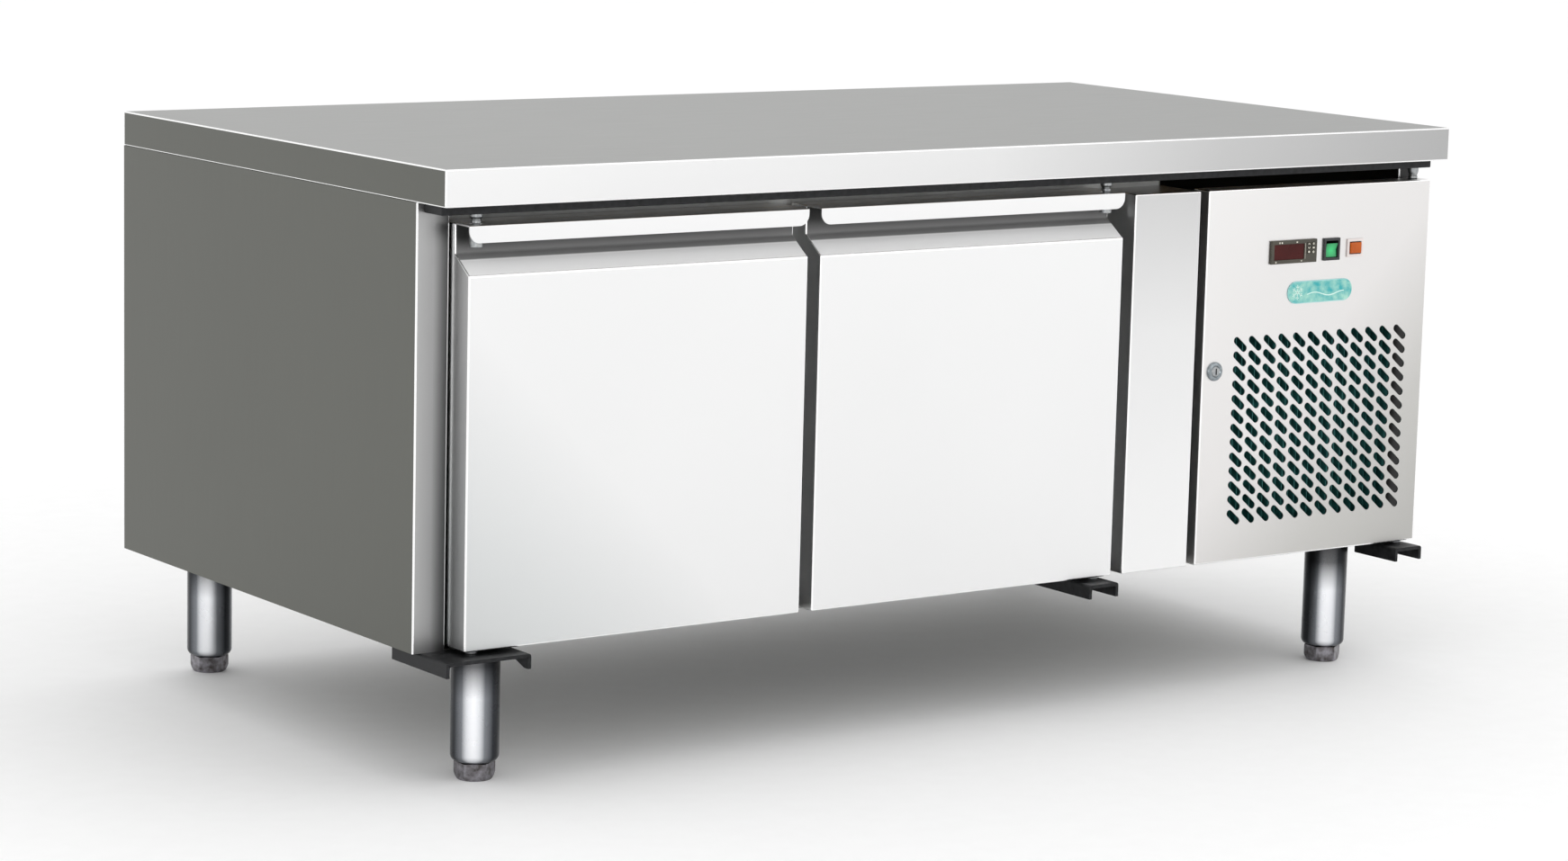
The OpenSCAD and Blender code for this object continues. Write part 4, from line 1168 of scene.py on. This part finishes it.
def hoop(x, z, radius, width, y):
    """A thin raised ring in an XZ plane."""
    inner, outer = radius - width / 2, radius + width / 2
    profile = [(inner, 0), (inner, -SIGN_DEPTH), (outer, -SIGN_DEPTH), (outer, 0), (inner, 0)]
    return turned("hoop", (x, y, z), ALONG_Y, profile, 12)


def sign(kind, x, z, size, y):
    """The bars and rings of one key's sign."""
    thin = size * 0.22
    half = size / 2
    if kind in ("up", "down"):
        way = 1 if kind == "up" else -1
        return [bar((x - half, z - way * half * 0.6), (x, z + way * half * 0.6), thin, y),
                bar((x + half, z - way * half * 0.6), (x, z + way * half * 0.6), thin, y)]
    if kind == "set":
        return [hoop(x, z, half * 0.7, thin, y), bar((x - thin, z), (x + thin, z), thin * 2, y)]
    if kind == "light":
        rays = [radians(60 * i) for i in range(3)]
        return [bar((x - half * cos(a), z - half * sin(a)), (x + half * cos(a), z + half * sin(a)),
                    thin, y) for a in rays]
    if kind == "defrost":
        return [bar((x + dx, z + half * 0.7), (x + dx, z - half * 0.7), thin * 1.3, y)
                for dx in (-half * 0.7, 0, half * 0.7)]
    return [hoop(x, z - thin / 2, half * 0.7, thin, y), bar((x, z), (x, z + half), thin, y)]


print("signs are", SIGN_DEPTH / MM, "mm high")

# %% Controller
case_low, case_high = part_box("controller_case")
key_nodes = ("up", "down", "set", "light", "defrost", "power")
KEY_TRAVEL, KEY_GAP = 0.8 * MM, 0.3 * MM
KEY_SIGN, MARK_SIGN = 2.8 * MM, 2.2 * MM
window_low, window_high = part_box("controller_window")
bezel = soft_block("controller_bezel", case_low, (case_high.x, face_y, case_high.z), 0.9 * MM)
body = soft_block("controller_body", (case_low.x + 2 * MM, face_y - SPECK, case_low.z + 2 * MM),
                  (case_high.x - 2 * MM, case_high.y, case_high.z - 2 * MM), 0.8 * MM, 2)
cutters = [block("window_cutter", (window_low.x, case_low.y - MM, window_low.z),
                 (window_high.x, window_high.y, window_high.z))]
for key in key_nodes:
    low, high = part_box("key_" + key)
    cutters.append(block("key_cutter", low - Vector((KEY_GAP, MM, KEY_GAP)),
                         (high.x + KEY_GAP, face_y + KEY_TRAVEL + 0.2 * MM, high.z + KEY_GAP)))
key_cutters = [copy_of(cutter, cutter.name, (0, 0, 0)) for cutter in cutters[1:]]
cut(bezel, cutters)
cut(body, key_cutters)
finish(join("controller_housing", [bezel, body]), bezel_plastic, "service_panel",
       "olive_plastic", "controller_case")

window = soft_block("controller_smoked_window", window_low, window_high, 0.5 * MM, 2)
finish(window, window_plastic, "service_panel", "display", "controller_window")

mark_y = case_low.y - SPECK
width, tall = case_high.x - case_low.x, case_high.z - case_low.z
mark_places = (("light", 0.17, 0.90), ("set", 0.22, 0.90), ("defrost", 0.55, 0.90),
               ("power", 0.10, 0.09), ("down", 0.66, 0.09))
marks = []
for kind, across, up_share in mark_places:
    marks += sign(kind, case_low.x + width * across, case_low.z + tall * up_share, MARK_SIGN,
                  mark_y)
rule_x = window_high.x + 1.6 * MM
marks.append(bar((rule_x, window_low.z), (rule_x, window_high.z), 0.3 * MM, mark_y))
finish(join("controller_marks", marks), mark_plastic, "service_panel", "olive_plastic",
       "controller_case")
print("controller", round(width / MM), "x", round(tall / MM), "mm with", len(mark_places), "marks")

# %% Keys
for key in key_nodes:
    low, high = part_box("key_" + key)
    cap = block(f"key_{key}_cap", low + Vector((0, SIGN_DEPTH, 0)), high)
    round_edges(cap, 0.5 * MM, 2, lambda a, b: a.y < high.y - SPECK or b.y < high.y - SPECK)
    cap.data.materials.append(bezel_plastic)
    middle = (low + high) / 2
    icon = join("key_sign", sign(key, middle.x, middle.z, KEY_SIGN, low.y + SIGN_DEPTH))
    icon.data.materials.append(mark_plastic)
    finish(join(cap.name, [cap, icon]), None, "key_" + key, "olive_plastic", "key_" + key)
print("six keys of", round((high.x - low.x) / MM, 1), "x", round((high.z - low.z) / MM, 1), "mm")

# %% [markdown]
# ## Switch and pilot lamp
# The rocker's face is a shallow V: pressing one half tips it about its middle. A block is cut at
# mid height, the cut edge is pushed in and the back is narrowed; then the whole cap is turned to
# its resting tilt about the pivot. The lamp is a ridged amber lens in a pale bezel.

# %% Rocker switch
ROCKER_TILT = radians(7)
frame_low, frame_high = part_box("rocker_frame")
RIM = 3.2 * MM
rocker_rim = window_frame("rocker_rim", frame_low, (frame_high.x, face_y, frame_high.z), RIM)
round_edges(rocker_rim, 0.7 * MM, 2)
shell_low = Vector((frame_low.x + 2 * MM, face_y, frame_low.z + 2.5 * MM))
shell_high = Vector((frame_high.x - 2 * MM, frame_high.y, frame_high.z - 2.5 * MM))
rocker_shell = pan("rocker_shell", shell_low, shell_high, (0, -1, 0), MM, 0.8 * MM)
finish(join("rocker_housing", [rocker_rim, rocker_shell]), black_plastic, "service_panel",
       "black_plastic", "rocker_frame")

tilt_pivot = pivots["rocker_tilt"]
CAP_WIDTH, CAP_REACH, CAP_DEPTH = 17 * MM, 8.2 * MM, 10.5 * MM
CAP_BACK, CAP_BACK_REACH, CAP_HOLLOW = 4 * MM, 3 * MM, 2 * MM
cap = block("rocker_lit_cap", tilt_pivot - Vector((CAP_WIDTH / 2, CAP_DEPTH, CAP_REACH)),
            tilt_pivot + Vector((CAP_WIDTH / 2, CAP_BACK, CAP_REACH)))
shape(cap, "FACE", None, bpy.ops.mesh.bisect, plane_co=tilt_pivot, plane_no=ALONG_Z)
shape(cap, "VERT", lambda p: abs(p.z - tilt_pivot.z) < SPECK and p.y < tilt_pivot.y,
      bpy.ops.transform.translate, value=(0, CAP_HOLLOW, 0))
shape(cap, "VERT", lambda p: p.y > tilt_pivot.y, bpy.ops.transform.resize,
      value=(1, 1, CAP_BACK_REACH / CAP_REACH), center_override=tilt_pivot)
round_edges(cap, 0.7 * MM)
cap.data.transform(Matrix.Translation(tilt_pivot) @ Matrix.Rotation(ROCKER_TILT, 4, "X")
                   @ Matrix.Translation(-tilt_pivot))
finish(cap, green_lens, "rocker", "green_lens", "rocker_cap")
print("the cap rests tipped by 7 degrees about z", round(tilt_pivot.z, 4))

# %% Pilot lamp
lamp_low, lamp_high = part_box("pilot_lamp")
BEZEL_DEPTH, BEZEL_BORDER, LENS_BORDER = 2 * MM, 3.2 * MM, 4.2 * MM
lamp_bezel = window_frame("pilot_lamp_bezel", (lamp_low.x, face_y - BEZEL_DEPTH, lamp_low.z),
                          (lamp_high.x, face_y, lamp_high.z), BEZEL_BORDER)
round_edges(lamp_bezel, 0.6 * MM, 2)
finish(lamp_bezel, pale_plastic, "service_panel", "white_plastic", "pilot_lamp")

lens_low = Vector((lamp_low.x + LENS_BORDER, lamp_low.y + 1.4 * MM, lamp_low.z + LENS_BORDER))
lens_high = Vector((lamp_high.x - LENS_BORDER, face_y + BEZEL_DEPTH, lamp_high.z - LENS_BORDER))
lens = block("pilot_lamp_lens", lens_low, lens_high)
shape(lens, "FACE", lambda centre, normal: normal.y < -0.9, bpy.ops.mesh.inset,
      thickness=2 * MM, depth=0.7 * MM)
round_edges(lens, 0.5 * MM, 2)
finish(lens, orange_lens, "service_panel", "orange_lens", "pilot_lamp")

lamp_body = soft_block(
    "pilot_lamp_body", (lamp_low.x + 2.5 * MM, face_y + SPECK, lamp_low.z + 2.5 * MM),
    (lamp_high.x - 2.5 * MM, lamp_high.y, lamp_high.z - 2.5 * MM), MM, 2)
finish(lamp_body, black_plastic, "service_panel", "black_plastic", "pilot_lamp")
print("the lens is", round((lens_high.x - lens_low.x) / MM, 1), "mm wide")

# %% [markdown]
# ## The lock
# A chromed ring holds a turning plug with a key slot. Behind the panel the plug carries a cam, a
# flat tongue that swings into the strip's slot. The ring's rim is rounded with an arc of points.

# %% Lock
RING_RADIUS, PLUG_RADIUS = 11 * MM, 6 * MM
CAM_THICKNESS = 2 * MM
KEY_SLOT = Vector((0.9, 0, 3.6)) * MM
housing_low, housing_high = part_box("lock_housing")
centre = (lock_centre.x, face_y, lock_centre.z)
front = housing_low.y - face_y
rear = housing_high.y - face_y
gap = PLUG_RADIUS + FREE_FIT
ring_profile = [(gap, rear), (gap, front + 0.6 * MM), (gap + 0.6 * MM, front),
                (RING_RADIUS - 2.2 * MM, front), (RING_RADIUS - 0.9 * MM, front + 0.5 * MM),
                (RING_RADIUS - 0.2 * MM, front + 1.3 * MM), (RING_RADIUS, front + 2.2 * MM),
                (RING_RADIUS, 0), (RING_RADIUS - 2 * MM, 0), (RING_RADIUS - 2 * MM, rear),
                (gap, rear)]
ring = turned("lock_ring", centre, ALONG_Y, ring_profile, 40)
finish(ring, lock_chrome, "service_panel", "chrome", "lock_housing")

plug_front = lock_low.y - face_y
cam_back = lock_high.y - face_y
cam_front = cam_back - CAM_THICKNESS
plug = turned("lock_barrel", centre, ALONG_Y,
              [(0, plug_front), (PLUG_RADIUS - 0.8 * MM, plug_front),
               (PLUG_RADIUS, plug_front + 0.8 * MM), (PLUG_RADIUS, cam_front), (0, cam_front)])
cut(plug, [block("key_slot_cutter", Vector(centre) - KEY_SLOT - Vector((0, 4 * MM, 0)),
                 Vector(centre) + KEY_SLOT + Vector((0, 2 * MM, 0)))])
tongue_length = lock_high.z - lock_low.z
tongue = plate("lock_tongue", obround(centre[0], (lock_low.z + lock_high.z) / 2,
                                      face_y + cam_front, tongue_length, 2 * CAM_REACH,
                                      radians(90)), (0, cam_back - cam_front, 0))
round_edges(tongue, 0.4 * MM, 2)
finish(join("lock_barrel", [plug, tongue]), zinc, "lock", "zinc", "lock_plug")
print("the cam reaches", round((lock_centre.z - lock_low.z) / MM), "mm from the lock's axis")

# %% [markdown]
# ## The badge
# A resin badge on printed film: a rounded plate with a pale rim round a mottled blue-green face. It
# carries only a snow crystal and a pale wave; there is no name on it.

# %% Badge
badge_low, badge_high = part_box("badge")
middle = (badge_low + badge_high) / 2
badge_size = badge_high - badge_low
ARM, TWIG, TWIG_PLACE = 8.5 * MM, 3 * MM, 5 * MM
oval = obround(middle.x, middle.z, badge_high.y, badge_size.x, badge_size.z)
badge = plate("badge_plate", oval, (0, badge_low.y + SIGN_DEPTH - badge_high.y, 0))
coat(badge, badge_rim, badge_rim, badge_film)
shape(badge, "FACE", lambda centre, normal: normal.y < -0.9, bpy.ops.mesh.inset, thickness=MM)
paint(badge, 2, lambda centre, normal: normal.y < -0.9
      and abs(centre.z - middle.z) < badge_size.z / 2 - 2 * MM)
round_edges(badge, 0.3 * MM, 2)
face = badge_low.y + SIGN_DEPTH
crystal = Vector((badge_low.x + 15 * MM, 0, middle.z))
drawing = []
for arm in range(30, 390, 60):
    tip, *twigs = [Vector((cos(radians(arm + turn)), 0, sin(radians(arm + turn))))
                   for turn in (0, -50, 50)]
    drawing.append(bar(crystal.xz, (crystal + tip * ARM).xz, 0.9 * MM, face))
    root = crystal + tip * TWIG_PLACE
    for twig in twigs:
        drawing.append(bar(root.xz, (root + twig * TWIG).xz, 0.7 * MM, face))
wave = [Vector((badge_low.x + (30 + 3 * i) * MM, 0, middle.z - (3 - 2.2 * sin(i / 2.4)) * MM))
        for i in range(20)]
for here, there in zip(wave, wave[1:]):
    drawing.append(bar(here.xz, there.xz, 1.1 * MM, face))
finish(join("badge_print", drawing), badge_print, "service_panel", "badge", "badge")
finish(badge, None, "service_panel", "badge", "badge")
print("the badge is", round(badge_size.x / MM), "x", round(badge_size.z / MM), "mm")

# %% [markdown]
# ## Finishes on the parts behind
# What is hidden behind the fronts keeps its shape from the frame. Each of those parts gets the
# finish of its real material here, so that an opened door or panel shows a complete inside.

# %% Finishes for the other parts
finishes = {
    board: ["worktop_core"],
    foam: ["insulation", "door_left_core", "door_right_core"],
    shaded_side_steel: ["base_panel", "unit_wall"],
    liner_steel: ["cavity_liner", "evaporator_cover", "unit_base", "shelf_supports"],
    white_plastic: ["breaker_strips", "centre_post", "electrical_box"],
    chrome: ["wire_shelves"],
    fins: ["evaporator_coil", "condenser_coil"],
    enamel: ["evaporator_motor", "condenser_motor", "compressor"],
    black_plastic: ["evaporator_fan", "condenser_fan", "cable_gland"],
    copper: ["pipework"],
    phosphate: ["condenser_shroud"],
    zinc: ["door_left_bushes", "door_right_bushes"],
}
for material, parts in finishes.items():
    for node in parts:
        part = bpy.data.objects[node]
        part.data.materials.clear()
        part.data.materials.append(material)
print(sum(len(parts) for parts in finishes.values()), "parts given their finish,",
      len(made), "pieces modelled")
